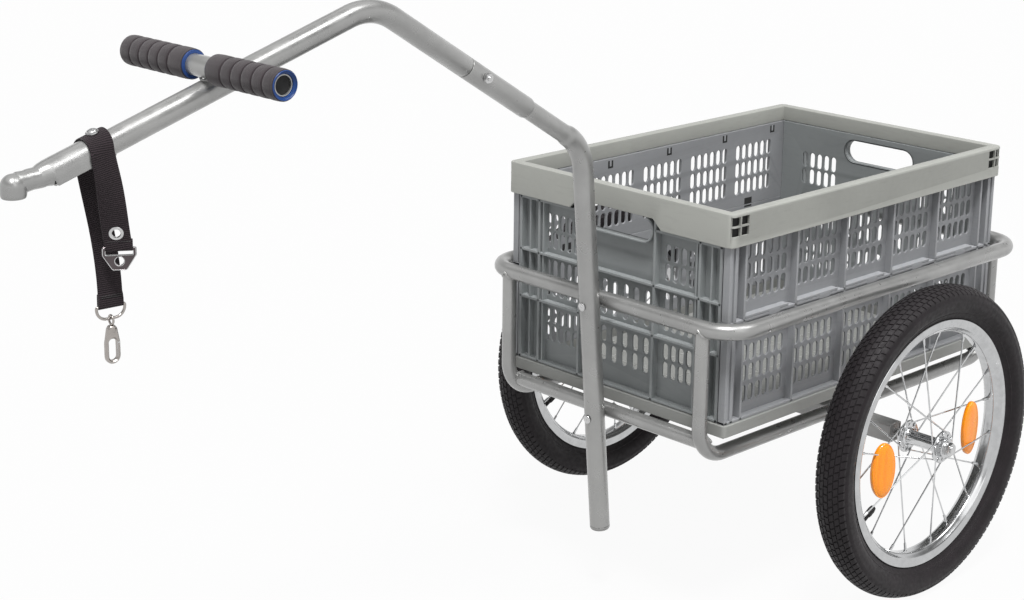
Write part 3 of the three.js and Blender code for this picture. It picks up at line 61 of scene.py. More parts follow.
def addCamera():
    yaw, pitch, roll = (math.radians(shot[key]) for key in ("yaw", "pitch", "roll"))
    ahead = Vector((math.cos(yaw) * math.cos(pitch), math.sin(yaw) * math.cos(pitch), -math.sin(pitch)))
    right = Vector((math.sin(yaw), -math.cos(yaw), 0))
    down = ahead.cross(right)
    tiltedRight = right * math.cos(roll) + down * math.sin(roll)
    tiltedDown = down * math.cos(roll) - right * math.sin(roll)
    lens = bpy.data.cameras.new("photoCamera")
    lens.lens = shot["lens"]
    lens.sensor_width = 36
    lens.shift_x, lens.shift_y = shot["shift"]
    lens.clip_end = 200
    camera = bpy.data.objects.new("photoCamera", lens)
    turn = Matrix((tiltedRight, -tiltedDown, -ahead)).transposed().to_4x4()
    camera.matrix_world = Matrix.Translation(Vector(shot["place"])) @ turn
    scene.collection.objects.link(camera)
    scene.camera = camera


studio = {
    "floorRadius": 90,  # metres
    "floorColour": (0.42, 0.42, 0.42),
    "floorGlow": 0.95,  # share of plain white that the camera sees in the floor
    "floorDrop": 0.0006,
    "sky": 0.45,
    # places from straight down to straight up, and how bright the sky is there
    "skyLight": [(0.0, 0.7), (0.5, 0.55), (0.75, 1.0), (1.0, 1.25)],
    "skyShown": [(0.0, 1.0), (0.64, 1.0), (0.72, 0.42), (0.8, 0.22), (0.86, 0.95), (0.92, 0.9), (1.0, 0.3)],
    "suns": [
        {"name": "keySun", "from": (0.46, 0.46, 1.6), "strength": 3.25, "angle": 14},
        {"name": "fillSun", "from": (0.2, 1.5, 0.9), "strength": 0.3, "angle": 30},
        {"name": "backSun", "from": (-0.31, 0.42, 0.85), "strength": 0.85, "angle": 22},
    ],
}


def addNode(tree, kind, feeds=None, **settings):
    # feeds pair a socket's name or number with its value, or with the socket that feeds it
    node = tree.nodes.new("ShaderNode" + kind)
    for name, value in settings.items():
        setattr(node, name, value)
    for key, value in (feeds or {}).items():
        socket = node.inputs[key]
        if isinstance(value, bpy.types.NodeSocket):
            tree.links.new(value, socket)
        elif socket.type == "RGBA":
            socket.default_value = (*value, 1.0)
        else:
            socket.default_value = value
    return node


def mathOn(tree, operation, *feeds):
    return addNode(tree, "Math", dict(enumerate(feeds)), operation=operation).outputs[0]


def emptyTree(owner):
    owner.use_nodes = True
    owner.node_tree.nodes.clear()
    return owner.node_tree


def showsBackdrop(tree):
    # 1 for rays from the camera, in gloss and through glass, and 0 for light on matt surfaces
    ray = addNode(tree, "LightPath").outputs
    either = mathOn(tree, "MAXIMUM", ray["Is Camera Ray"], ray["Is Glossy Ray"])
    return mathOn(tree, "MAXIMUM", either, ray["Is Transmission Ray"])


def mixOut(tree, share, first, second, output):
    mixed = addNode(tree, "MixShader", {0: share, 1: first.outputs[0], 2: second.outputs[0]})
    addNode(tree, output, {"Surface": mixed.outputs[0]})


def rampOn(tree, source, stops):
    ramp = addNode(tree, "ValToRGB", {"Fac": source})
    band = ramp.color_ramp
    while len(band.elements) < len(stops):
        band.elements.new(0.5)
    for element, (at, colour) in zip(band.elements, stops):
        element.position = at
        tone = colour if isinstance(colour, (tuple, list)) else (colour, colour, colour)
        element.color = (*tone, 1.0)
    return ramp.outputs["Color"]


def addSky():
    world = bpy.data.worlds.new("studioSky")
    scene.world = world
    tree = emptyTree(world)
    toward = addNode(tree, "TexCoord").outputs["Generated"]
    upward = addNode(tree, "SeparateXYZ", {0: toward}).outputs["Z"]
    height = addNode(tree, "MapRange", {"From Min": -1, "Value": upward}).outputs["Result"]
    lit, shown = (rampOn(tree, height, studio[key]) for key in ("skyLight", "skyShown"))
    light = addNode(tree, "Background", {"Color": lit, "Strength": studio["sky"]})
    backdrop = addNode(tree, "Background", {"Color": shown})
    mixOut(tree, showsBackdrop(tree), light, backdrop, "OutputWorld")


def addFloor():
    look = bpy.data.materials.new("paleFloor")
    tree = emptyTree(look)
    matt = addNode(tree, "BsdfDiffuse", {"Color": studio["floorColour"]})
    share = mathOn(tree, "MULTIPLY", showsBackdrop(tree), studio["floorGlow"])
    mixOut(tree, share, matt, addNode(tree, "Emission"), "OutputMaterial")
    net = bmesh.new()
    bmesh.ops.create_circle(net, cap_ends=True, segments=64, radius=studio["floorRadius"])
    mesh = bpy.data.meshes.new("paleFloor")
    net.to_mesh(mesh)
    net.free()
    floor = bpy.data.objects.new("paleFloor", mesh)
    floor.location.z = -studio["floorDrop"]
    mesh.materials.append(look)
    scene.collection.objects.link(floor)


def addSuns():
    for sun in studio["suns"]:
        lamp = bpy.data.lights.new(sun["name"], "SUN")
        lamp.energy = sun["strength"]
        lamp.angle = math.radians(sun["angle"])
        holder = bpy.data.objects.new(sun["name"], lamp)
        holder.matrix_world = Vector(sun["from"]).to_track_quat("Z", "Y").to_matrix().to_4x4()
        scene.collection.objects.link(holder)


addCamera()
addSky()
addFloor()
addSuns()
print("trailer: camera and light set")

# Finishes. Their scales are per metre, because a texture's coordinates are metres.


def startLook(name, colour, roughness, metallic=0.0, **more):
    look = bpy.data.materials.new(name)
    look.use_nodes = True
    tree = look.node_tree
    shader = tree.nodes["Principled BSDF"]
    shader.inputs["Base Color"].default_value = (*colour, 1.0)
    shader.inputs["Roughness"].default_value = roughness
    shader.inputs["Metallic"].default_value = metallic
    for socket, value in more.items():
        shader.inputs[socket].default_value = value
    return look, tree, shader


def feedShader(tree, shader, colour, roughness, normal):
    for key, value in (("Base Color", colour), ("Roughness", roughness), ("Normal", normal)):
        if value is not None:
            tree.links.new(value, shader.inputs[key])


def placeOn(tree):
    return addNode(tree, "TexCoord").outputs["Object"]


def noiseOn(tree, scale, detail=2.0, stretch=(1, 1, 1)):
    fit = addNode(tree, "Mapping", {"Vector": placeOn(tree), "Scale": stretch}).outputs["Vector"]
    return addNode(tree, "TexNoise", {"Vector": fit, "Scale": scale, "Detail": detail}).outputs["Fac"]


def spanOn(tree, source, low, high, fromLow=0.3, fromHigh=0.7):
    feeds = {"Value": source, "From Min": fromLow, "From Max": fromHigh, "To Min": low, "To Max": high}
    return addNode(tree, "MapRange", feeds).outputs["Result"]


def blendOn(tree, share, first, second, how="MIX"):
    return addNode(tree, "Mix", {0: share, 6: first, 7: second}, data_type="RGBA", blend_type=how).outputs[2]


def shades(colour, spread):
    return [tuple(min(channel * (1 + side * spread), 1) for channel in colour) for side in (-1, 1)]


def toneOn(tree, source, low, high, colour, spread):
    # a darker and a lighter shade of one colour, where source is low and high
    return rampOn(tree, source, list(zip((low, high), shades(colour, spread))))


def bumpOn(tree, height, distance, strength=1.0, under=None):
    feeds = {"Height": height, "Distance": distance, "Strength": strength}
    if under is not None:
        feeds["Normal"] = under
    return addNode(tree, "Bump", feeds).outputs["Normal"]


def edgeOn(tree, low, high):
    # how sharp the edge is, from 0 to 1
    return spanOn(tree, addNode(tree, "NewGeometry").outputs["Pointiness"], 0.0, 1.0, low, high)


def paintLook(name, colour, metallic, roughness, wear):
    coat = {"Coat Weight": 0.3, "Coat Roughness": 0.12}
    look, tree, shader = startLook(name, colour, roughness, metallic, **coat)
    broad = toneOn(tree, noiseOn(tree, 22, detail=3), 0.35, 0.65, colour, spread=0.07)
    flakes = rampOn(tree, noiseOn(tree, 2600, detail=1), [(0.38, 0.95), (0.62, 1.0)])
    speckled = blendOn(tree, 0.55, broad, flakes, "MULTIPLY")
    worn = blendOn(tree, edgeOn(tree, 0.53, 0.62), speckled, wear)
    gloss = spanOn(tree, noiseOn(tree, 60, detail=4), roughness - 0.06, roughness + 0.1)
    peel = bumpOn(tree, noiseOn(tree, 420), distance=0.00004, strength=0.3)
    waves = bumpOn(tree, noiseOn(tree, 35), distance=0.0002, strength=0.15, under=peel)
    feedShader(tree, shader, worn, gloss, waves)
    return look


def metalLook(name, colour, roughness, brushed, smear):
    look, tree, shader = startLook(name, colour, roughness, 1.0)
    tone = toneOn(tree, noiseOn(tree, 90, detail=4), 0.3, 0.7, colour, spread=0.08)
    gloss = spanOn(tree, noiseOn(tree, smear, detail=4), roughness * 0.6, roughness * 1.6)
    scratches = bumpOn(tree, noiseOn(tree, brushed, detail=3), distance=0.00004, strength=0.6)
    feedShader(tree, shader, tone, gloss, scratches)
    return look


def plasticLook(name, colour, grain=620, roughness=0.55):
    look, tree, shader = startLook(name, colour, roughness, **{"Specular IOR Level": 0.35})
    broad = toneOn(tree, noiseOn(tree, 9, detail=4), 0.35, 0.65, colour, spread=0.06)
    dusty = tuple(min(channel * 1.35 + 0.02, 1) for channel in colour)
    scuffed = blendOn(tree, edgeOn(tree, 0.52, 0.6), broad, dusty)
    streaks = rampOn(tree, noiseOn(tree, 40, detail=5, stretch=(1, 1, 6)), [(0.55, 1.0), (0.75, 0.93)])
    tone = blendOn(tree, 1.0, scuffed, streaks, "MULTIPLY")
    gloss = spanOn(tree, noiseOn(tree, 120, detail=4), roughness - 0.08, roughness + 0.12)
    fine = bumpOn(tree, noiseOn(tree, grain, detail=3), distance=0.00015, strength=0.45)
    sinks = bumpOn(tree, noiseOn(tree, 14), distance=0.0012, strength=0.2, under=fine)
    feedShader(tree, shader, tone, gloss, sinks)
    return look


def rubberLook(name, colour, roughness, dust, grain=900):
    skin = {"Specular IOR Level": 0.24, "Sheen Weight": 0.04}
    look, tree, shader = startLook(name, colour, roughness, **skin)
    broad = toneOn(tree, noiseOn(tree, 45, detail=5), 0.35, 0.65, colour, spread=0.25)
    dusty = blendOn(tree, edgeOn(tree, 0.52, 0.66), broad, dust)
    gloss = spanOn(tree, noiseOn(tree, 200, detail=3), roughness - 0.1, roughness + 0.1)
    pits = bumpOn(tree, noiseOn(tree, grain, detail=4), distance=0.0003, strength=0.5)
    feedShader(tree, shader, dusty, gloss, pits)
    return look


def cellsOn(tree, scale, **more):
    feeds = {"Scale": scale, "Vector": placeOn(tree), **more}
    return addNode(tree, "TexVoronoi", feeds).outputs["Distance"]


def foamLook(name, colour):
    look, tree, shader = startLook(name, colour, 0.92, **{"Specular IOR Level": 0.2, "Sheen Weight": 0.35})
    cells = cellsOn(tree, 1300)
    pores = toneOn(tree, cells, 0.1, 0.5, colour, spread=0.3)
    worn = rampOn(tree, noiseOn(tree, 70, detail=4), [(0.3, 0.82), (0.7, 1.0)])
    tone = blendOn(tree, 1.0, pores, worn, "MULTIPLY")
    feedShader(tree, shader, tone, None, bumpOn(tree, cells, distance=0.0004, strength=0.6))
    return look


def webLook(name, colour, pitch):
    # ribs across a fine weave; the strap's UV map gives its width and length in millimetres
    cloth = {"Specular IOR Level": 0.25, "Sheen Weight": 0.15, "Sheen Roughness": 0.4}
    look, tree, shader = startLook(name, colour, 0.8, **cloth)
    split = addNode(tree, "SeparateXYZ", {0: addNode(tree, "UVMap").outputs["UV"]}).outputs
    waves = []
    for axis, wide in (("X", pitch * 0.4), ("Y", pitch * 0.6)):
        waves.append(mathOn(tree, "SINE", mathOn(tree, "MULTIPLY", split[axis], math.pi / wide)))
    weaveShare = 0.3
    ribs = mathOn(tree, "MULTIPLY_ADD", waves[0], weaveShare, waves[1])
    height = spanOn(tree, ribs, 0.0, 1.0, -1 - weaveShare, 1 + weaveShare)
    # the colour is darker in the weave's hollows and lighter on its ribs: painted shade and highlight
    weaveShadeAndHighlight = toneOn(tree, height, 0.15, 0.85, colour, spread=0.7)
    faded = rampOn(tree, noiseOn(tree, 60, detail=4), [(0.3, 0.85), (0.7, 1.0)])
    tone = blendOn(tree, 1.0, weaveShadeAndHighlight, faded, "MULTIPLY")
    fuzz = bumpOn(tree, noiseOn(tree, 3000), distance=0.0001, strength=0.4)
    feedShader(tree, shader, tone, None, bumpOn(tree, height, distance=0.0005, under=fuzz))
    return look


def lensLook(name, colour, deep):
    # pressed prisms under a clear skin
    skin = {"Coat Weight": 0.35, "Coat Roughness": 0.06, "Specular IOR Level": 0.4}
    look, tree, shader = startLook(name, colour, 0.3, **skin)
    cells = cellsOn(tree, 420, Randomness=0.12)
    tone = rampOn(tree, cells, [(0.1, colour), (0.75, deep)])
    gloss = spanOn(tree, noiseOn(tree, 150, detail=3), 0.22, 0.4)
    feedShader(tree, shader, tone, gloss, bumpOn(tree, cells, distance=0.0004, strength=0.35))
    return look


looks = {
    "silver_paint": paintLook("silverPaint", (0.325, 0.325, 0.32), 0.62, 0.3, (0.38, 0.38, 0.37)),
    "dark_paint": paintLook("greyBeamPaint", (0.28, 0.277, 0.268), 0.3, 0.42, (0.38, 0.38, 0.38)),
    "zinc": metalLook("brightZinc", (0.56, 0.56, 0.56), 0.22, 700, 120),
    "chrome": metalLook("polishedChrome", (0.58, 0.585, 0.59), 0.09, 500, 60),
    "rim_steel": metalLook("polishedRim", (0.5, 0.505, 0.51), 0.14, 900, 45),
    # the plate's steel is given a dark colour, a painted reflection of the dark strap in its face
    "plate_painted_reflection": metalLook("plateSteelPaintedReflection", (0.1, 0.085, 0.088), 0.16, 600, 150),
    "nickel": metalLook("castNickel", (0.38, 0.355, 0.335), 0.26, 600, 150),
    "tyre_rubber": rubberLook("tyreRubber", (0.0085, 0.006, 0.0074), 0.6, (0.013, 0.0105, 0.012)),
    "soft_rubber": rubberLook("softRubber", (0.012, 0.011, 0.0115), 0.48, (0.03, 0.03, 0.03)),
    "foam": foamLook("gripFoam", (0.036, 0.029, 0.032)),
    "blue_plastic": plasticLook("bluePlastic", (0.006, 0.04, 0.17), grain=800, roughness=0.36),
    "webbing": webLook("blackWebbing", (0.02, 0.0135, 0.0165), pitch=1.7),
    "thread": rubberLook("blackThread", (0.03, 0.025, 0.028), 0.7, (0.05, 0.05, 0.05), grain=2500),
    "orange_lens": lensLook("orangeLens", (1.0, 0.37, 0.002), (0.97, 0.25, 0.001)),
    "rim_plastic": plasticLook("rimPlastic", (0.29, 0.294, 0.273)),
    # the crate base is the rim's plastic painted darker, as shade from the frame tubes round it
    "rim_plastic_shaded": plasticLook("shadedBasePlastic", (0.215, 0.218, 0.208)),
    "wall_plastic": plasticLook("wallPlastic", (0.235, 0.24, 0.25)),
    "end_plastic": plasticLook("endPlastic", (0.213, 0.226, 0.228)),
    # painted shade: a dark finish put in slits, bores, windows and notches, where there is only shade
    "painted_shade": rubberLook("paintedShadeInside", (0.02, 0.02, 0.02), 0.8, (0.02, 0.02, 0.02)),
}
print("trailer: finishes mixed")

# Shapes. Each shell is points, faces and the number of a look, and makePiece joins shells into one mesh.

leftRight = (("left", 1), ("right", -1))
weldWithin = 0.000002  # metres


def toRow(point):
    return Vector(((point[0] + axleX) / 1000, point[1] / 1000, point[2] / 1000))


def moved(shell, place):
    points, faces, number = shell
    return [place @ Vector(point) for point in points], faces, number


def layOn(origin, across, along, up):
    place = Matrix((across, along, up)).transposed().to_4x4()
    place.translation = Vector(origin)
    return place


upright = layOn((0, 0, 0), xAxis, zAxis, yAxis)  # stands a flat plate up, with its thickness along Y


def toSide(sign):
    # turns what is made for the left side to the right side
    return Matrix.Rotation(0 if sign > 0 else math.pi, 4, "Z")


def makePiece(name, shells, looksUsed, nodes=(), body="trailer_frame", place=None, sharp=34, **more):
    # flatten evens the shading of flat sides; lengthways gives a texture's place for a mesh point
    used = [looksUsed] if isinstance(looksUsed, str) else list(looksUsed)
    net = bmesh.new()
    for shell in shells:
        points, faces, number = shell if place is None else moved(shell, place)
        corners = [net.verts.new(toRow(point)) for point in points]
        for face in faces:
            made = net.faces.new([corners[index] for index in face])
            made.material_index = number
            made.smooth = True
    bmesh.ops.remove_doubles(net, verts=net.verts, dist=weldWithin)
    bmesh.ops.recalc_face_normals(net, faces=net.faces)
    mesh = bpy.data.meshes.new(name)
    net.to_mesh(mesh)
    net.free()
    mesh.set_sharp_from_angle(angle=math.radians(sharp))
    piece = bpy.data.objects.new(name, mesh)
    scene.collection.objects.link(piece)
    for key in used:
        mesh.materials.append(looks[key])
    if "lengthways" in more:
        layer = mesh.uv_layers.new(name="webMap")
        for loop in mesh.loops:
            layer.data[loop.index].uv = more["lengthways"](mesh.vertices[loop.vertex_index].co)
    if more.get("flatten"):
        even = piece.modifiers.new("evenFaces", "WEIGHTED_NORMAL")
        even.keep_sharp = True
        even.weight = 80
    if nodes:
        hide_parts(*nodes)
    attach(piece, body)
    return piece


def cutAway(target, cutters):
    # takes the cutters' room out of the target, and keeps what its other modifiers made
    for i, cutter in enumerate(cutters):
        cut = target.modifiers.new(f"cut{i}", "BOOLEAN")
        cut.operation = "DIFFERENCE"
        cut.solver = "EXACT"
        cut.object = cutter
    bpy.context.view_layer.update()
    mesh = bpy.data.meshes.new_from_object(target.evaluated_get(bpy.context.evaluated_depsgraph_get()))
    target.modifiers.clear()
    old = target.data
    target.data = mesh
    bpy.data.meshes.remove(old)
    for cutter in cutters:
        bpy.data.objects.remove(cutter)


def turns(count):
    return [2 * math.pi * k / count for k in range(count)]


def bentPath(corners, bends, steps=10, closed=False):
    # a path through corners that are rounded to one bend radius or to one each
    path = []
    count = len(corners)
    for i, corner in enumerate(corners):
        here = Vector(corner)
        if not closed and i in (0, count - 1):
            path.append(here)
            continue
        back = (Vector(corners[i - 1]) - here).normalized()
        on = (Vector(corners[(i + 1) % count]) - here).normalized()
        bend = bends[i] if isinstance(bends, (list, tuple)) else bends
        half = back.angle(on) / 2
        setback = bend / math.tan(half)
        centre = here + (back + on).normalized() * bend / math.sin(half)
        first = here + back * setback - centre
        last = here + on * setback - centre
        turn = math.pi - 2 * half
        for k in range(steps + 1):
            a = math.sin((1 - k / steps) * turn) / math.sin(turn)
            b = math.sin(k / steps * turn) / math.sin(turn)
            path.append(centre + first * a + last * b)
    return path


def flatPath(corners, bends, steps):
    # a closed bent path in the plane of a plate, from pairs of numbers
    path = bentPath([(a, b, 0) for a, b in corners], bends, steps, closed=True)
    return [(point.x, point.y) for point in path]


def bandFaces(rows, length, closed=False, wrapped=True, start=0):
    # faces between each row of points and the next; wrapped rows join their last point to their first
    faces = []
    for i in range(rows if closed else rows - 1):
        a, b = start + i * length, start + (i + 1) % rows * length
        for k in range(length if wrapped else length - 1):
            n = (k + 1) % length
            faces.append((a + k, a + n, b + n, b + k))
    return faces


def sweepShell(path, radius, sides=24, closed=False, bore=0.0, number=0):
    # a rod or a tube along a path, with one radius or one at each point
    path = [Vector(point) for point in path]
    count = len(path)
    radii = radius if isinstance(radius, (list, tuple)) else [radius] * count
    rings, up = [], None
    for i, here in enumerate(path):
        lead = Vector()
        if closed or i > 0:
            lead += (here - path[i - 1]).normalized()
        if closed or i < count - 1:
            lead += (path[(i + 1) % count] - here).normalized()
        lead.normalize()
        if up is None:
            up = yAxis if abs(lead.dot(yAxis)) < 0.9 else zAxis
        up = (up - lead * up.dot(lead)).normalized()
        rings.append((here, lead.cross(up), up))
    points, faces = [], []
    for sizes in [radii] + ([[bore] * count] if bore else []):
        faces += bandFaces(count, sides, closed, start=len(points))
        for (here, side, up), size in zip(rings, sizes):
            points += [here + (side * math.cos(turn) + up * math.sin(turn)) * size for turn in turns(sides)]
    if not closed:
        for a in (0, (count - 1) * sides):
            b = a + count * sides
            if bore:
                pairs = [(k, (k + 1) % sides) for k in range(sides)]
                faces += [(a + k, a + n, b + n, b + k) for k, n in pairs]
            else:
                faces.append(tuple(range(a, a + sides)))
    return points, faces, number


def rodShell(start, lead, stations, sides=24, **more):
    # a straight rod from pairs of distance along lead and radius
    path = [start + lead * along for along, _ in stations]
    return sweepShell(path, [size for _, size in stations], sides, **more)


def turnShell(profile, steps=64, closed=False, number=0):
    # pairs of radius and place along Y; a closed profile makes a ring
    points = []
    for turn in turns(steps):
        points += [(size * math.cos(turn), along, size * math.sin(turn)) for size, along in profile]
    return points, bandFaces(steps, len(profile), closed=True, wrapped=closed), number


def loftShell(rings, number=0, caps=True):
    sides = len(rings[0])
    faces = bandFaces(len(rings), sides)
    if caps:
        last = (len(rings) - 1) * sides
        faces += [tuple(range(sides)), tuple(range(last, last + sides))]
    return [point for ring in rings for point in ring], faces, number


def blockShell(low, high, edge=0.5, number=0, steps=2):
    # a box with rounded edges between two opposite corners
    net = bmesh.new()
    size = [abs(high[i] - low[i]) for i in range(3)]
    middle = [(high[i] + low[i]) / 2 for i in range(3)]
    bmesh.ops.create_cube(net, size=1.0)
    for vert in net.verts:
        vert.co = Vector([middle[i] + vert.co[i] * size[i] for i in range(3)])
    if edge:
        offset = min(edge, min(size) * 0.45)
        edges = list(net.edges)
        bmesh.ops.bevel(net, geom=edges, offset=offset, segments=steps, profile=0.5, affect="EDGES")
    net.verts.index_update()
    points = [vert.co.copy() for vert in net.verts]
    faces = [tuple(vert.index for vert in face.verts) for face in net.faces]
    net.free()
    return points, faces, number


def slotPoints(x, z, width, height, steps=5):
    # a slot with round ends, upright or lying
    path = []
    size = min(width, height) / 2
    reach = max(width, height) / 2 - size
    for end in (1, -1):
        for k in range(steps + 1):
            turn = math.pi * k / steps + (0 if end > 0 else math.pi)
            a, b = size * math.cos(turn), size * math.sin(turn) + end * reach
            path.append((x + a, z + b) if height > width else (x + b, z - a))
    return path


def circlePath(radius, steps, x=0.0, z=0.0):
    return [(x + radius * math.cos(turn), z + radius * math.sin(turn)) for turn in turns(steps)]


def cornerPath(halfA, halfB, corner, steps=5):
    # a rectangle with rounded corners, one corner's points at a time
    for i, (a, b) in enumerate(((1, 1), (-1, 1), (-1, -1), (1, -1))):
        arc = [math.radians(90 * i + 90 * k / steps) for k in range(steps + 1)]
        middleA, middleB = a * (halfA - corner), b * (halfB - corner)
        yield a, b, [(middleA + corner * math.cos(turn), middleB + corner * math.sin(turn)) for turn in arc]


def roundedBox(halfA, halfB, corner, steps=5):
    return [point for _, _, points in cornerPath(halfA, halfB, corner, steps) for point in points]


def plateShell(outline, holes, thickness, edge=0.3, number=0):
    # a flat plate with holes and softened edges, from w = 0 to w = thickness
    line = bpy.data.curves.new("plateLine", "CURVE")
    line.dimensions = "2D"
    line.fill_mode = "BOTH"
    line.extrude = thickness / 2 - edge
    line.bevel_depth = edge
    line.bevel_resolution = 0
    line.offset = -edge
    for path in [outline, *holes]:
        spline = line.splines.new("POLY")
        spline.points.add(len(path) - 1)
        for point, (a, b) in zip(spline.points, path):
            point.co = (a, b, 0, 1)
        spline.use_cyclic_u = True
    holder = bpy.data.objects.new("plateLine", line)
    scene.collection.objects.link(holder)
    bpy.context.view_layer.update()
    mesh = bpy.data.meshes.new_from_object(holder.evaluated_get(bpy.context.evaluated_depsgraph_get()))
    points = [(vert.co.x, vert.co.y, vert.co.z + thickness / 2) for vert in mesh.vertices]
    faces = [tuple(face.vertices) for face in mesh.polygons]
    bpy.data.objects.remove(holder)
    bpy.data.curves.remove(line)
    bpy.data.meshes.remove(mesh)
    return points, faces, number


def weldShell(path, size, closed=True):
    # a rippled weld bead along a path
    radii = [size * (1 + 0.16 * math.sin(k * 2.1) + dice.uniform(-0.05, 0.05)) for k in range(len(path))]
    return sweepShell(path, radii, 8, closed)


def smoothstep(t, low, high):
    t = max(0.0, min(1.0, (t - low) / (high - low)))
    return t * t * (3 - 2 * t)


# Wheels. Profiles are pairs of radius and place along the axle.

wheel = {
    "radius": 199.7,
    "centreZ": 200,
    "track": 545,
    "blockDepth": 2.6,
    "blockRoot": 0.6,  # how far a block reaches into the tyre
    "blockTaper": 0.35,
    "treadRows": [  # middle of a row, half its width, its blocks' lean, share of a pitch it is staggered
        (0.0, 2.7, 0.0, 0.0),
        (6.3, 2.7, 1.2, 0.5),
        (12.5, 2.6, 1.2, 0.0),
        (18.3, 2.6, 1.0, 0.5),
    ],
    "blocks": 124,
    "blockShare": 0.84,
    "crowning": 0.0178,
    "seamTurn": 150,
}
tyreHalf = [
    (153.2, 9.4), (155.6, 10.4), (158.8, 10.8), (160.2, 12.4), (162.0, 12.9), (165.2, 15.6), (166.2, 16.6),
    (167.2, 16.6), (170.5, 19.4), (174.5, 21.4), (179.0, 22.2), (183.4, 22.1), (185.0, 22.3), (186.4, 21.7),
    (190.1, 20.6), (192.5, 18.2), (194.7, 14.6), (196.8, 9.8), (198.2, 4.8), (198.6, 0.0),
]
tyreInner = [(154.4, -7.2), (166, -12.6), (180, -18.4), (192.4, 0)]
rimHalf = [
    (158.3, 11.6), (158.5, 12.4), (157.9, 12.95), (156.6, 13.0), (150.2, 12.9), (148.2, 12.3), (146.6, 10.9),
    (145.2, 8.9), (143.4, 7.6), (142.3, 6.7), (141.7, 5.2), (141.5, 2.4), (141.5, 0.0),
]
rimInner = [
    (157.4, -11.2), (151.4, -11.1), (149.4, -10.4), (147.2, -8.2), (145.4, -6.0), (143.6, -4.6), (143.4, 0.0),
]
hub = {
    "spread": 25.5,
    "barrel": [
        (6.2, -33.2), (11.4, -33.2), (12.4, -32.4), (12.5, -28.2), (11.9, -27.2), (11.9, -23.8),
        (10.4, -22.8), (9.4, -20.6), (9.0, -16.0), (9.0, 0.0),
    ],
    "dustCap": [(7.9, -33.3), (9.4, -33.6), (9.9, -33.1), (10.6, -33.0)],
    "flangeRadius": 20.4,
    "flangeThickness": 2.8,
    "holeRadius": 1.7,
    "holesOut": 15.6,
}
spokes = {
    "perFlange": 10,
    "lead": 68,
    "radius": 1.0,
    "hubRadius": 17.5,
    "rimRadius": 141.6,
    "rimOffset": 3,
    "turn": 9,
    "fromFlange": 1.9,
    "head": [(0.9, 1.5), (0.36, 2.1), (0, 2.2)],
    "nipple": [(0, 2.4), (2, 1.9), (9, 1.7)],
}
reflector = {
    "length": 70,
    "width": 37,
    "outward": 8.5,
    "front": (98, -5.8, 12),  # distance from the axle, turn and lean
    "rear": (85, 180.7, -6),
    "profile": [  # share of the width, and place outwards
        (0.3, -3.5), (0.9, -3.5), (0.97, -2.7), (1.0, -1.2), (1.0, 1.4), (0.965, 2.3), (0.93, 2.35),
        (0.9, 2.1), (0.87, 2.5), (0.7, 3.1), (0.4, 3.5), (0.1, 3.6),
    ],
    "clip": [(-7, -4.6, -2.6), (7, -2.8, 2.6)],
    "clipsZ": (-9, 9),
}
valve = {
    "turn": -30.6,
    "stem": [
        (145.2, 4.6), (143.4, 4.6), (141.2, 4.2), (140.6, 3.1), (130.6, 3.1), (130.2, 3.9), (128.8, 4.1),
        (122.0, 4.1), (118.6, 3.9), (116.6, 3.3), (115.8, 1.6),
    ],
    "ribs": (128.4, 120.4),
    "ribsOut": 4.0,
    "ribRadius": 0.35,
}


def bothSides(half):
    return half + [(size, -along) for size, along in reversed(half) if along]


def onWheel(radius, turn, y=0.0):
    return Vector((radius * math.cos(turn), y, radius * math.sin(turn)))


def treadBlock(middle, row, arc, length):
    _, half, lean, _ = row
    points = []
    for level in (0, 1):
        inset = wheel["blockTaper"] * level
        deeper = 0 if level else wheel["blockDepth"] + wheel["blockRoot"]
        for side in (-1, 0, 1):
            y = middle + side * half
            top = wheel["radius"] - wheel["crowning"] * y * y
            for end in (-1, 1):
                a = (arc + lean * side + end * (length / 2 - inset)) / wheel["radius"]
                points.append(onWheel(top - deeper, a, y - inset * side))
    faces = [(6, 7, 9, 8), (8, 9, 11, 10), (0, 1, 7, 6), (5, 4, 10, 11)]
    faces += [(1, 3, 9, 7), (3, 5, 11, 9), (2, 0, 6, 8), (4, 2, 8, 10)]
    return points, faces, 0


def makeTyre(side, place, body):
    shells = [turnShell(bothSides(tyreHalf) + bothSides(tyreInner), 128, closed=True)]
    pitch = 2 * math.pi * wheel["radius"] / wheel["blocks"]
    for row in wheel["treadRows"]:
        for middle in sorted({row[0], -row[0]}):
            for k in range(wheel["blocks"]):
                shells.append(treadBlock(middle, row, (k + row[3]) * pitch, pitch * wheel["blockShare"]))
    makePiece(f"{side}Tyre", shells, "tyre_rubber", [f"tyre_{side}"], body, place, sharp=40)


def spokeEnds(sign, i):
    pitch = 360 / spokes["perFlange"]
    outer = 1 if i % 2 else -1
    rimTurn = math.radians(i * pitch + (0 if sign > 0 else pitch / 2) + spokes["turn"])
    hubTurn = rimTurn + math.radians(spokes["lead"] * outer)
    face = spokes["fromFlange"] * outer
    near = onWheel(spokes["hubRadius"], hubTurn, sign * (hub["spread"] + face))
    far = onWheel(spokes["rimRadius"], rimTurn, sign * spokes["rimOffset"])
    return near, far, sign * face


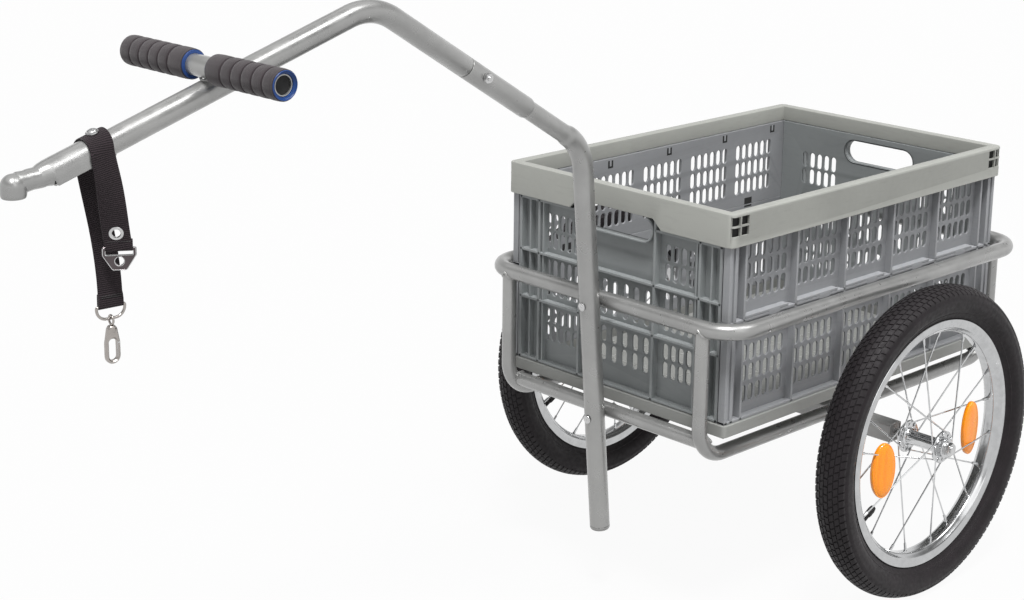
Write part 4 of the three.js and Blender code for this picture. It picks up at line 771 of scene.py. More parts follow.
def makeHub(side, place, body):
    shells = [turnShell(bothSides(hub["barrel"]), 48)]
    middles = [onWheel(hub["holesOut"], math.radians(36 * k + 18)) for k in range(10)]
    holes = [circlePath(hub["holeRadius"], 10, middle.x, middle.z) for middle in middles]
    flange = plateShell(circlePath(hub["flangeRadius"], 60), holes, hub["flangeThickness"], 0.5)
    for sign in (1, -1):
        seat = Matrix.Translation((0, sign * hub["spread"] - hub["flangeThickness"] / 2, 0))
        shells.append(moved(flange, seat @ upright))
        shells.append(turnShell([(size, sign * along) for size, along in hub["dustCap"]], 40))
        for i in range(spokes["perFlange"]):
            near, far, face = spokeEnds(sign, i)
            through = near - Vector((0, 2 * face, 0))
            along = (far - near).normalized()
            path = [through, near - yAxis * face * 0.4, near + along * 3, far]
            shells.append(sweepShell(path, spokes["radius"], 8))
            shells.append(rodShell(through, -yAxis * math.copysign(1, face), spokes["head"], 10))
            shells.append(rodShell(far, -along, spokes["nipple"], 10))
    makePiece(f"{side}HubAndSpokes", shells, "chrome", [f"hub_and_spokes_{side}"], body, place)


def makeReflector(side, sign, end, place, body):
    reach, turn, lean = reflector[end]
    leaned = Matrix.Rotation(math.radians(-lean * sign), 3, "Z")
    centre = onWheel(reach, math.radians(turn), sign * reflector["outward"])
    rings = []
    for share, out in reflector["profile"]:
        inset = (1 - share) * reflector["width"] / 2
        wide, tall = reflector["width"] / 2 - inset, reflector["length"] / 2 - inset
        ring = [Vector((wide * math.cos(a), sign * out, tall * math.sin(a))) for a in turns(48)]
        rings.append([centre + leaned @ point for point in ring])
    shells = [loftShell(rings)]
    for z in reflector["clipsZ"]:
        low, high = (centre + Vector((a, sign * b, z + c)) for a, b, c in reflector["clip"])
        shells.append(blockShell(low, high, 0.7, 1))
    name, node = f"{side}{end.capitalize()}Reflector", f"reflector_{side}_{end}"
    makePiece(name, shells, ["orange_lens", "soft_rubber"], [node], body, place)


def makeWheel(side, sign):
    place = Matrix.Translation((0, sign * wheel["track"] / 2, wheel["centreZ"]))
    body = f"wheel_{side}"
    makeTyre(side, place, body)
    seam = [onWheel(radius, math.radians(wheel["seamTurn"]), 12.95) for radius in (150, 157)]
    hoop = turnShell(bothSides(rimHalf) + bothSides(rimInner), 128, closed=True)
    shells = [hoop, sweepShell(seam, 0.25, 6)]
    makePiece(f"{side}Rim", shells, "rim_steel", [f"rim_{side}"], body, place)
    makeHub(side, place, body)
    outward = onWheel(1, math.radians(valve["turn"]))
    shells = [rodShell(Vector(), outward, valve["stem"], 20)]
    for turn in turns(12):
        off = (yAxis.cross(outward) * math.cos(turn) + yAxis * math.sin(turn)) * valve["ribsOut"]
        shells.append(sweepShell([outward * radius + off for radius in valve["ribs"]], valve["ribRadius"], 6))
    makePiece(f"{side}Valve", shells, "soft_rubber", [f"valve_{side}"], body, place)
    for end in ("front", "rear"):
        makeReflector(side, sign, end, place, body)


for side, sign in leftRight:
    makeWheel(side, sign)
print("trailer: wheels made")

# Axle and frame

tubes = {
    "radius": 9,
    "bend": 42,
    "halfX": 298,
    "halfY": 202,
    "loopRadius": 10,
    "centre": 1.3,
    "loopZ": 383.8,
    "sideY": 161,
    "sideZ": 221.3,
    "crossZ": 239,
    "rearCross": -271.35,
    "legLean": 5.31,
    "weld": 1.5,
    "axleWeld": 1.9,
    "axleEdgeX": 12.72,
    "axleEdgeZ": 212.6,
}
axle = {
    "size": 24,
    "length": 456,
    "corner": 2.6,
    "wall": 2.5,
    "spindle": [
        (0, 222.0), (4.7, 222.0), (4.7, 236.4), (7.2, 236.4), (8.0, 237.0), (8.0, 238.4), (7.0, 239.2),
        (4.7, 239.2), (4.7, 306.4), (0, 306.4),
    ],
    "plug": [(-9.4, 190, -9.4), (9.4, 227.7, 9.4)],
    "thread": [306.2, 314.2],
    "cone": [(5.0, 305.2), (7.6, 305.2), (8.0, 305.7), (8.0, 307.0), (7.5, 307.6), (5.0, 307.6)],
    "nutFrom": 307.4,
    "nutRadius": 8.6,
    "nutHeight": 5.2,
}


def hexShell(origin, lead, radius, thickness):
    # a nut with its corners turned down at both ends
    side = lead.orthogonal().normalized()
    up = lead.cross(side)
    rings = []
    for along, share in ((0.0, 0.9), (0.12, 0.985), (0.2, 1.0), (0.8, 1.0), (0.88, 0.985), (1.0, 0.9)):
        ring = []
        for turn in turns(36):
            flat = math.cos(math.pi / 6) / math.cos(turn % (math.pi / 3) - math.pi / 6)
            off = (side * math.cos(turn) + up * math.sin(turn)) * radius * min(flat, share)
            ring.append(origin + lead * along * thickness + off)
        rings.append(ring)
    return loftShell(rings)


def threadShell(start, end, radius):
    lead = end - start
    steps = max(int(lead.length / 0.45), 2)
    stations = [(k / steps, radius * (0.93 if k % 2 else 1.0)) for k in range(steps)]
    return rodShell(start, lead, [*stations, (1, radius * 0.8)], 20)


def makeAxle():
    half = axle["size"] / 2
    bore = half - axle["wall"]
    outline = roundedBox(half, half, axle["corner"])
    tube = plateShell(outline, [roundedBox(bore, bore, 1.2, 2)], axle["length"], 0.35)
    place = Matrix.Translation((0, -axle["length"] / 2, wheel["centreZ"])) @ upright
    makePiece("axleBeam", [tube], "dark_paint", ["axle_beam"], place=place)
    for side, sign in leftRight:
        lift = Matrix.Translation((0, 0, wheel["centreZ"])) @ toSide(sign)
        thread = threadShell(*(yAxis * along for along in axle["thread"]), 4.6)
        shells = [turnShell(axle["spindle"], 32), blockShell(*axle["plug"], 0.8, 1), thread]
        makePiece(f"{side}Spindle", shells, ["zinc", "dark_paint"], [f"spindle_{side}"], place=lift)
        nut = hexShell(yAxis * axle["nutFrom"], yAxis, axle["nutRadius"], axle["nutHeight"])
        shells = [turnShell(axle["cone"], 32, closed=True), nut]
        makePiece(f"{side}AxleNut", shells, "zinc", [f"axle_nut_{side}"], place=lift)


def saddleBead(centre, post, bar):
    # where a tube along post meets the side of a tube along bar, both of the frame's size
    across = post.cross(bar).normalized()
    r = tubes["radius"] + 0.1
    path = []
    for a in turns(34):
        off = r * math.cos(a)
        level = math.sqrt(max(r * r - off * off, 0.0))
        path.append(centre + across * off + bar * r * math.sin(a) + post * level)
    return weldShell(path, tubes["weld"])


def makeFrame():
    # the front cross tube's place is given back, because a leg bolt goes through it
    r, c, x = tubes["radius"], tubes["centre"], tubes["halfX"]
    loopZ, sideZ, crossZ = tubes["loopZ"], tubes["sideZ"], tubes["crossZ"]
    thicker = tubes["loopRadius"] - r
    loopX, loopY = x - thicker, tubes["halfY"] - thicker
    corners = [(c + a * loopX, b * loopY, loopZ) for a, b in ((1, 1), (-1, 1), (-1, -1), (1, -1))]
    loop = sweepShell(bentPath(corners, tubes["bend"], 14, closed=True), tubes["loopRadius"], 28, closed=True)
    makePiece("upperLoop", [loop], "silver_paint", ["upper_loop"])
    for side, sign in leftRight:
        y = sign * tubes["sideY"]
        corners = [(c + x, y, loopZ - 4), (c + x, y, sideZ), (c - x, y, sideZ), (c - x, y, loopZ - 4)]
        shells = [sweepShell(bentPath(corners, tubes["bend"], 14), r, 28)]
        for end in (x, -x):
            shells.append(saddleBead(Vector((c + end, y, loopZ)), -zAxis, yAxis))
        # welds along the axle beam's two upper edges
        for edge in (-tubes["axleEdgeX"], tubes["axleEdgeX"]):
            line = [Vector((edge, y + k, tubes["axleEdgeZ"])) for k in range(-6, 7)]
            shells.append(weldShell(line, tubes["axleWeld"], closed=False))
        makePiece(f"{side}SideFrame", shells, "silver_paint", [f"side_frame_{side}"])
    frontCross = c + x - math.tan(math.radians(tubes["legLean"])) * (loopZ - crossZ)
    arc = [math.radians(15 * k) for k in range(6)]
    domed = [(tubes["sideY"] - 8 + 9.5 * math.sin(turn), r * math.cos(turn)) for turn in arc]
    stations = [(-along, size) for along, size in reversed(domed)] + domed
    for end, at in (("front", frontCross), ("rear", tubes["rearCross"])):
        shells = [rodShell(Vector((at, 0, crossZ)), yAxis, stations, 28)]
        for sign in (1, -1):
            shells.append(saddleBead(Vector((at, sign * tubes["sideY"], crossZ)), -yAxis * sign, zAxis))
        makePiece(f"{end}CrossTube", shells, "silver_paint", [f"{end}_cross_tube"])
    return frontCross


makeAxle()
frontCrossX = makeFrame()
print("trailer: frame and axle made")

# Drawbar, its bolts and its foot

drawbar = {
    "radius": 12.5,
    "foot": 88.5,
    "elbowZ": 579.7,
    "elbowBend": 58,
    "rise": 31.9,
    "fall": 17,
    "crownAhead": 319.5,
    "crownBend": 74,
    "front": 413,
    "sleeveFrom": 110,
    "sleeve": 110,
    "inSleeve": 30,
    "thinner": 1.6,
    "slit": 27,
    "boltFromSeam": 24,
    "cap": [(4, 9), (0.1, 9), (-0.3, 12), (-0.6, 12.5), (-3.4, 12.4), (-4.8, 11.6), (-5.4, 9)],
}
lean, riseTurn, fallTurn = (math.radians(a) for a in (tubes["legLean"], drawbar["rise"], drawbar["fall"]))
rise = Vector((math.cos(riseTurn), 0, math.sin(riseTurn)))
fall = Vector((math.cos(fallTurn), 0, -math.sin(fallTurn)))
fallUp = Vector((math.sin(fallTurn), 0, math.cos(fallTurn)))
legUp = Vector((math.sin(lean), 0, math.cos(lean)))
legOut = Vector((math.cos(lean), 0, -math.sin(lean)))
seatGap = 0.3  # between two tubes that are fixed to each other
legGap = (tubes["radius"] + drawbar["radius"] + seatGap) / math.cos(lean)
bolt = {
    "shank": 3,
    "head": 5.4,
    "headHeight": 2.8,
    "washer": 6.6,
    "washerTop": 0.9,
    "drive": 1.7,
    "driveFrom": 2.3,
    "driveDepth": 0.62,
    "nut": 5.8,
    "nutHeight": 5,
    "pastNut": 1.9,
}


def legPoint(z):
    return Vector((tubes["centre"] + tubes["halfX"] + legGap + math.tan(lean) * (z - tubes["loopZ"]), 0, z))


elbow = legPoint(drawbar["elbowZ"])
crown = elbow + rise * (drawbar["crownAhead"] / math.cos(riseTurn))


def frontPoint(along):
    return crown + fall * along


def domeShell(foot, lead, radius, height):
    # a low round head
    stations = [(0, radius * 0.97)]
    for k in range(7):
        turn = math.radians(15 * k)
        stations.append((height * (0.3 + 0.7 * math.sin(turn)), max(radius * math.cos(turn), 0.3)))
    return rodShell(foot, lead, stations, 28)


def makeBolt(name, node, start, end, washer=False):
    lead = (end - start).normalized()
    shells = [sweepShell([start - lead * 3, end + lead], bolt["shank"], 16)]
    foot = end + lead * (bolt["washerTop"] if washer else seatGap)
    if washer:
        shells.append(sweepShell([end + lead * 0.05, foot], bolt["washer"], 28))
    shells.append(domeShell(foot, lead, bolt["head"], bolt["headHeight"]))
    drive = foot + lead * bolt["driveFrom"]
    shells.append(sweepShell([drive, drive + lead * bolt["driveDepth"]], bolt["drive"], 6))
    makePiece(f"{name}Bolt", shells, "zinc", [f"{node}_bolt"])
    near = start - lead * seatGap
    nutEnd = near - lead * bolt["nutHeight"]
    shells = [hexShell(near, -lead, bolt["nut"], bolt["nutHeight"])]
    shells.append(threadShell(nutEnd, nutEnd - lead * bolt["pastNut"], bolt["shank"] - 0.15))
    makePiece(f"{name}Nut", shells, "zinc", [f"{node}_nut"])


def makeDrawbar():
    r = drawbar["radius"]
    sleeveLow = elbow + rise * drawbar["sleeveFrom"]
    seam = sleeveLow + rise * drawbar["sleeve"]
    foot = legPoint(drawbar["foot"])
    within = sleeveLow + rise * drawbar["inSleeve"]
    bent = bentPath([foot, elbow, within], drawbar["elbowBend"], 18)
    # above its bend the tube is swaged down to slide into the sleeve
    neck = [bent[-2] + rise * step for step in (2, 4.5, 7.5, 10)] + [within]
    thin = r - drawbar["thinner"]
    radii = [r] * (len(bent) - 1) + [r - 0.2, r - 0.7, r - 1.3, r - 1.55, thin]
    tube = sweepShell(bent[:-1] + neck, radii, 36)
    makePiece("drawbarRearTube", [tube], "silver_paint", ["drawbar_rear_tube"])
    makePiece("legEndCap", [rodShell(foot, legUp, drawbar["cap"], 32)], "dark_paint", ["leg_end_cap"])

    # the sleeve has a slit under its upper end
    rounded = [(0, r - 0.5), (0.5, r - 0.1), (1.4, r)]
    stations = rounded + [(drawbar["sleeve"] - along, size) for along, size in reversed(rounded)]
    tube = rodShell(sleeveLow, rise, stations, 36, bore=r - 1.7)
    under = layOn(seam - rise * drawbar["slit"], rise, yAxis, yAxis.cross(rise))
    # a dark strip along the slit, painted shade
    groove = blockShell((0, -1.1, -r - 0.12), (drawbar["slit"] + 0.3, 1.1, -r + 1), 0.05, 1)
    shells = [tube, moved(groove, under)]
    makePiece("drawbarSleeve", shells, ["silver_paint", "painted_shade"], ["drawbar_sleeve"])

    front = bentPath([seam + rise * 0.2, crown, frontPoint(drawbar["front"] - 4)], drawbar["crownBend"], 22)
    steps = [front[0] + rise * step for step in (0.3, 1.0, 1.8)]
    path = [seam - rise * drawbar["inSleeve"], seam - rise * 0.1, *steps, *front[1:]]
    radii = [thin, thin, r - 1.0, r - 0.3, r, *[r] * (len(front) - 1)]
    # a dark plug just inside the open end, painted shade in the bore
    mouth = rodShell(front[-1], fall, [(-1, thin), (0.15, thin)], number=1)
    shells = [sweepShell(path, radii, 36), mouth]
    makePiece("drawbarFrontTube", shells, ["silver_paint", "painted_shade"], ["drawbar_front_tube"])

    boltAt = seam - rise * drawbar["boltFromSeam"]
    makeBolt("sleeve", "sleeve", boltAt + yAxis * r, boltAt - yAxis * r)
    loopX = tubes["centre"] + tubes["halfX"]
    for level, x, z in (("Upper", loopX, tubes["loopZ"]), ("Lower", frontCrossX, tubes["crossZ"] - 2)):
        tube = Vector((x, 0, z))
        ahead = tube + legOut * (tubes["radius"] + seatGap + 2 * r)
        makeBolt(f"leg{level}", f"leg_{level.lower()}", tube - legOut * tubes["radius"], ahead)


makeDrawbar()
print("trailer: drawbar made")

# Handle

handle = {
    "barRadius": 11,
    "barLength": 257,
    "fromCrown": 206.4,
    "weld": 1.5,
    "weldReach": (6.4, 9.5),
    "fromEnd": 0.8,
    "gripLength": 109.4,
    "gripRadius": 15.8,
    "ribs": 6,
    "firstRib": 24.6,
    "groove": 2.9,
    "rib": [(0.08, 0.5), (0.17, 0.15), (0.32, 0.0), (0.68, 0.0), (0.83, 0.15), (0.92, 0.5)],
    "foamEdge": [(14.7, 0), (15.1, 0.15), (15.4, 0.7)],
    "foamInside": 13.4,
    "flange": 2.5,
    # pairs of radius and place, from the grip's inner end and from its outer end
    "innerFlange": [(11.2, 0), (14.1, 0), (14.5, 0.4), (14.5, 1.9), (14.2, 2.4), (13.2, 2.4)],
    "outerFlange": [
        (13.2, -2.4), (14.2, -2.4), (14.6, -1.9), (14.6, -0.5), (14.2, 0), (13.9, 0), (13.6, -0.7),
        (12.6, -1.6), (11.7, -2.0), (11.3, -2.0),
    ],
}


def gripWave(start, out):
    # the ribbed foam's section, from inside to outside and back under the flanges
    first, last = start + 1.2, out - 0.9
    big, deep = handle["gripRadius"], handle["groove"]
    pitch = (last - first - handle["firstRib"]) / (handle["ribs"] - 1)
    edges = [first] + [first + handle["firstRib"] + i * pitch for i in range(handle["ribs"])]
    wave = [(size, first + along) for size, along in handle["foamEdge"]]
    for i, (low, high) in enumerate(zip(edges, edges[1:])):
        wave += [(big - drop, low + share * (high - low)) for share, drop in handle["rib"]]
        if i < handle["ribs"] - 1:
            wave += [(big - deep * 0.7, high - 0.5), (big - deep, high), (big - deep * 0.7, high + 0.5)]
    wave += [(size, last - along) for size, along in reversed(handle["foamEdge"])]
    lip, inside = handle["foamEdge"][0][0], handle["foamInside"]
    inner, outer = start + handle["flange"], out - handle["flange"]
    return wave + [(lip, outer), (inside, outer), (inside, inner), (lip, inner)]


def makeHandle():
    r, half = handle["barRadius"], handle["barLength"] / 2
    along = handle["fromCrown"] / math.cos(fallTurn)
    seat = frontPoint(along) + fallUp * (drawbar["radius"] + r + seatGap)
    end, inner = half - 4, half - 6
    stations = [(-end, r - 0.4), (0.6 - end, r), (end - 0.6, r), (end, r - 0.4)]
    shells = [rodShell(seat, yAxis, stations, 36, bore=r - 1.5)]
    line = []
    long, wide = handle["weldReach"]
    for a in turns(30):
        off = long * math.cos(a)
        drop = fallUp * (r - 0.2 + 0.02 * off * off)
        line.append(seat - drop + fall * off + yAxis * wide * math.sin(a))
    shells.append(weldShell(line, handle["weld"]))
    # a dark rod inside the bar's bore, painted shade seen in its open ends
    shells.append(rodShell(seat, yAxis, [(-inner, r - 1.45), (inner, r - 1.45)], number=1))
    makePiece("handleCrossbar", shells, ["silver_paint", "painted_shade"], ["handle_crossbar"])
    out = half - handle["fromEnd"]
    start = out - handle["gripLength"]
    flanges = [(size, start + place) for size, place in handle["innerFlange"]]
    flanges += [(size, out + place) for size, place in handle["outerFlange"]]
    for side, sign in leftRight:
        spin = Matrix.Translation(seat) @ toSide(sign)
        sleeve = turnShell(flanges, 56, closed=True)
        makePiece(f"{side}GripSleeve", [sleeve], "blue_plastic", [f"grip_sleeve_{side}"], place=spin)
        foam = turnShell(gripWave(start, out), 64, closed=True)
        makePiece(f"{side}GripFoam", [foam], "foam", [f"grip_foam_{side}"], place=spin)


makeHandle()
print("trailer: handle made")

# Coupling

coupling = {
    "ahead": 430.8,
    "drop": 136.4,
    "radius": 12.4,
    "height": 23.4,
    "mouth": [(0.01, 0.0), (10.6, 0.0), (11.6, 0.6), (12.1, 1.8), (12.4, 3.6)],
    "saddle": 68,
    "wall": 2.2,
    "skirt": 8.6,
    "room": [(-12.7, 0.2), (12.7, 0.2), (12.7, -22), (-12.7, -22)],
    "voxel": 0.75,
    "softenings": 9,
}


def domePath(radius, middle, steps):
    arc = [math.radians(90 * k / steps) for k in range(steps)]
    return [(radius * math.cos(a), middle + radius * math.sin(a)) for a in arc] + [(0.01, middle + radius)]


def alongTube(profile, *ends):
    # pairs of place across the front tube and above its middle
    return loftShell([[end + yAxis * a + fallUp * b for a, b in profile] for end in ends])


def makeCoupling():
    x, mouth = crown.x + coupling["ahead"], crown.z - coupling["drop"]
    r, top, wall = coupling["radius"], coupling["height"], coupling["wall"]
    standing = Matrix.Translation((x, 0, mouth)) @ upright
    shells = [moved(turnShell(coupling["mouth"] + domePath(r, top - r, 10), 48), standing)]
    saddleR = drawbar["radius"] + seatGap + wall
    tip = frontPoint(drawbar["front"])
    back = tip - fall * coupling["saddle"]
    level = mouth + top * 0.6
    neck = [  # middle, half width, half height, share of the tube's slope
        (Vector((x - r * 0.3, 0, level)), 10.2, 10.4, 0),
        (Vector((x - r - 0.6, 0, level + 0.2)), 10.2, 10.3, 0.3),
        (Vector((x - r - 5, 0, level + 1.1)), 10.5, 10.4, 0.6),
        (tip + fallUp * 2.6 + fall * 9, 11.1, 10.7, 1),
        (tip + fallUp * 3 + fall * 5, 12.2, 11.4, 1),
        (tip + fallUp * 2.5 + fall, 13.5, 12.3, 1),
        (tip + fallUp * 1.2 - fall * 4, 14.7, 13.8, 1),
        (tip + fallUp * 0.2 - fall * 12, saddleR, saddleR - 0.1, 1),
    ]
    rings = []
    for middle, wide, high, share in neck:
        up = Vector((math.sin(fallTurn * share), 0, math.cos(fallTurn * share)))
        rings.append([middle + yAxis * wide * math.cos(a) + up * high * math.sin(a) for a in turns(32)])
    shells.append(loftShell(rings))
    arc = [math.pi * k / 28 for k in range(29)]
    profile = [(saddleR * math.cos(a), saddleR * math.sin(a)) for a in arc]
    profile += [(-saddleR, -coupling["skirt"]), (saddleR, -coupling["skirt"])]
    shells.append(alongTube(profile, back, tip - fall))
    piece = makePiece("couplingShell", shells, "silver_paint", ["coupling_shell"])
    fuse = piece.modifiers.new("fuse", "REMESH")
    fuse.mode = "VOXEL"
    fuse.voxel_size = coupling["voxel"] / 1000
    soften = piece.modifiers.new("soften", "SMOOTH")
    soften.iterations = coupling["softenings"]
    soften.factor = 0.6
    ends = (back - fall * 4, tip + fall * 0.3)
    hollow = [(0.01, -2.0), (r - wall, -2.0)] + domePath(r - wall, top - r, 9)
    rooms = [
        sweepShell(ends, drawbar["radius"] + 0.25, 40),
        alongTube(coupling["room"], *ends),
        moved(turnShell(hollow, 40), standing),
    ]
    cutAway(piece, [makePiece(f"couplingCutter{i}", [room], "silver_paint") for i, room in enumerate(rooms)])
    mesh = piece.data
    mesh.name = piece.name
    mesh.materials.clear()
    mesh.materials.append(looks["silver_paint"])
    for face in mesh.polygons:
        face.use_smooth = True
    mesh.set_sharp_from_angle(angle=math.radians(50))


makeCoupling()
print("trailer: coupling made")

# Safety strap and what hangs from it

strap = {
    "width": 26.5,
    "thickness": 1.8,
    "fromTubeEnd": 58,
    "near": {
        "sign": 1, "bottom": 577.0, "back": 17.72, "stray": 6.5, "twist": -33.0, "bow": 0.0,
        "hem": 9.0, "seams": [1.5], "slope": 0,
    },
    "far": {
        "sign": -1, "bottom": 517.5, "back": 14.72, "stray": 12.0, "twist": -5.0, "bow": 5.5,
        "hem": 12.5, "seams": [1.6, 3.4], "slope": 0.02,
    },
    "hemRadius": 2.65,
    "stitches": 9,
    "eye": 593.0,
    "eyelet": [
        (4.9, 0.0), (5.3, 0.9), (7.0, 0.9), (7.0, 1.1), (6.2, 1.6), (5.2, 1.8), (4.5, 1.5), (4.2, 0.9),
    ],
    "drill": 4.6,
}
strapAt = frontPoint(drawbar["front"] - strap["fromTubeEnd"])
strapTop = drawbar["radius"] + 3 * seatGap + coupling["wall"] + strap["thickness"] / 2


def overPoint(angle):
    reach = yAxis * strapTop * math.sin(angle) + fallUp * strapTop * math.cos(angle)
    ahead = strapTop * math.tan(fallTurn) * (1 - math.cos(angle))
    return strapAt + reach + fall * ahead, reach.normalized(), fall.copy()


def tailPoint(tail, t):
    sign = tail["sign"]
    start = overPoint(sign * math.pi / 2)[0]
    inwards = sign * (strapTop - tail["stray"]) - start.y
    back = tail["back"] * t + tail["bow"] * math.sin(math.pi * min(t, 1))
    at = start + Vector((-back, inwards * smoothstep(t, 0.2, 1), (tail["bottom"] - start.z) * t))
    twist = math.radians(tail["twist"]) * smoothstep(t, 0, 0.8)
    across = Matrix.Rotation(twist, 3, "Z") @ fall.lerp(xAxis, min(2 * t, 1)).normalized()
    return at, (across.cross(zAxis) * -sign).normalized(), across


def strapStations():
    stations = [tailPoint(strap["far"], 1 - k / 26) for k in range(26)]
    stations += [overPoint(-math.pi / 2 + math.pi * k / 28) for k in range(29)]
    return stations + [tailPoint(strap["near"], (k + 1) / 16) for k in range(16)]


def hemShells(tail):
    # the folded end and its stitches
    at, _, across = tailPoint(tail, 1.0)
    out = across.cross(zAxis) * -tail["sign"]
    width, tall, r = strap["width"], tail["hem"], strap["hemRadius"]
    arc = [math.pi + math.pi * k / 12 for k in range(13)]
    outline = [(r * math.cos(turn), r * math.sin(turn) + 0.2) for turn in arc]
    outline += [(2.6, tall * 0.6), (2.3, tall), (0.6, tall + 0.8), (-0.6, tall + 0.4), (-1.6, tall * 0.85)]
    fold = plateShell([*outline, (-2.6, tall * 0.5)], [], width - 0.1, 0.3)
    shells = [moved(fold, layOn(at - across * (width / 2 - 0.05), out, zAxis, across))]
    for seam in tail["seams"]:
        for face in (1, -1):
            for k in range(strap["stitches"]):
                a = 2.0 - width / 2 + k * (width - 4) / strap["stitches"]
                base = at + zAxis * (tall - seam + tail["slope"] * a) + out * face * 2.42 + across * a
                path = [base, base + across * 0.9 + out * face * 0.3, base + across * 1.9]
                shells.append(sweepShell(path, 0.32, 6, number=1))
    return shells


def makeStrap():
    stations = strapStations()
    half, thick = strap["width"] / 2, strap["thickness"] / 2
    section = [(-half, 0.0), (-half + 0.35, thick * 0.9), (-half + 1.6, thick)]
    section += [(half * k / 4, thick * 0.97) for k in range(-3, 4)]
    section += [(half - 1.6, thick), (half - 0.35, thick * 0.9), (half, 0.0)]
    section += [(a, -b) for a, b in reversed(section[1:-1])]
    rings, lengths, run = [], [], 0.0
    for i, (at, out, across) in enumerate(stations):
        run += (at - stations[max(i - 1, 0)][0]).length
        lengths.append(run)
        rings.append([at + across * a + out * b for a, b in section])

    def lengthways(point):
        here = Vector((point.x * 1000 - axleX, point.y * 1000, point.z * 1000))
        best = min(range(len(stations)), key=lambda i: (stations[i][0] - here).length_squared)
        at, _, across = stations[best]
        flow = stations[min(best + 1, len(stations) - 1)][0] - stations[max(best - 1, 0)][0]
        return (here - at).dot(across), lengths[best] + (here - at).dot(flow.normalized())

    shells = [loftShell(rings), *hemShells(strap["near"]), *hemShells(strap["far"])]
    return makePiece("safetyStrap", shells, ["webbing", "thread"], ["safety_strap"], lengthways=lengthways)


def makeEyelet(webbing):
    tail = strap["near"]
    start = overPoint(math.pi / 2)[0].z
    t = (start - strap["eye"]) / (start - tail["bottom"])
    at, _, across = tailPoint(tail, t)
    down = (tailPoint(tail, t + 0.03)[0] - tailPoint(tail, t - 0.03)[0]).normalized()
    out = down.cross(across).normalized()
    eyelet = turnShell(bothSides(strap["eyelet"]), 40, closed=True)
    place = layOn(at, across, out, across.cross(out))
    makePiece("strapEyelet", [eyelet], "zinc", ["strap_eyelet"], place=place)
    drill = sweepShell([at - out * 4, at + out * 4], strap["drill"], 24)
    cutAway(webbing, [makePiece("eyeletDrill", [drill], "webbing")])


plate = {
    "corners": [(-16.5, 1.5), (16.5, 1.5), (16.5, -6.5), (7.0, -21.5), (-7.0, -21.5), (-16.5, -6.5)],
    "bends": [1.5, 1.5, 3.5, 3.5, 3.5, 3.5],
    "slot": [(-13.4, -1.6), (13.4, -1.6), (13.4, -6.4), (-13.4, -6.4)],
    "hole": 4.3,
    "holeZ": -12.3,
    "thickness": 2.0,
    "wire": 0.42,
    "wireOut": 1.05,
    "wireShare": 0.955,  # the outer wire's size, round the plate's middle
    "middleZ": -9.5,
}
ring = {
    "corners": [(-15.25, 0), (15.25, 0), (15.25, -13), (-15.25, -13)],
    "bends": [1.9, 1.9, 10.4, 10.4],
    "wire": 1.5,
}
swivel = {
    "z": -14.7,
    "radius": 4.6,
    "wire": 1.15,
    "stud": [(4.4, 1.6), (5.2, 1.9), (5.6, 3.0), (6.4, 2.2), (12, 2.0)],
}
hook = {
    "z": -6.0,
    "length": 38.5,
    "width": 16,
    "thickness": 6,
    "wall": 3.6,
    "roomTop": -13,
    "collar": [(-0.2, 3.4), (0.4, 4.2), (1.2, 4.5), (4.6, 4.5), (6.4, 3.4)],
}


def hangPlace(tail):
    at, _, across = tailPoint(tail, 1.0)
    return layOn(at, across, zAxis.cross(across), zAxis)


def makeHangers():
    outline = flatPath(plate["corners"], plate["bends"], 6)
    slot = flatPath(plate["slot"], 1.2, 4)
    z, thickness, share, middle = (plate[key] for key in ("holeZ", "thickness", "wireShare", "middleZ"))
    flat = plateShell(outline, [slot, circlePath(plate["hole"], 32, 0, z)], thickness, 0.55)
    inner = [(a * share, middle + (b - middle) * share) for a, b in outline]
    shells = [moved(flat, layOn((0, thickness / 2, 0), xAxis, zAxis, -yAxis))]
    for line in (inner, slot, circlePath(plate["hole"] + 0.4, 32, 0, z)):
        for side in (-plate["wireOut"], plate["wireOut"]):
            path = [(a, side, b) for a, b in line]
            shells.append(sweepShell(path, plate["wire"], 8, closed=True, number=1))
    near = hangPlace(strap["near"])
    makePiece("strapPlate", shells, ["plate_painted_reflection", "zinc"], ["strap_plate"], "strap_plate", near)

    far = hangPlace(strap["far"])
    path = [(a, 0, b) for a, b in flatPath(ring["corners"], ring["bends"], 10)]
    shells = [sweepShell(path, ring["wire"], 14, closed=True)]
    makePiece("strapRing", shells, "nickel", ["strap_ring"], "strap_ring", far)

    swivelPlace = far @ Matrix.Translation((0, 0, swivel["z"]))
    path = [(0, a, b) for a, b in circlePath(swivel["radius"], 28)]
    shells = [sweepShell(path, swivel["wire"], 12, closed=True)]
    shells.append(rodShell(Vector(), -zAxis, swivel["stud"], 20))
    makePiece("swivelEye", shells, "nickel", ["swivel_eye"], "swivel", swivelPlace)
    makeHook(swivelPlace @ Matrix.Translation((0, 0, hook["z"])))


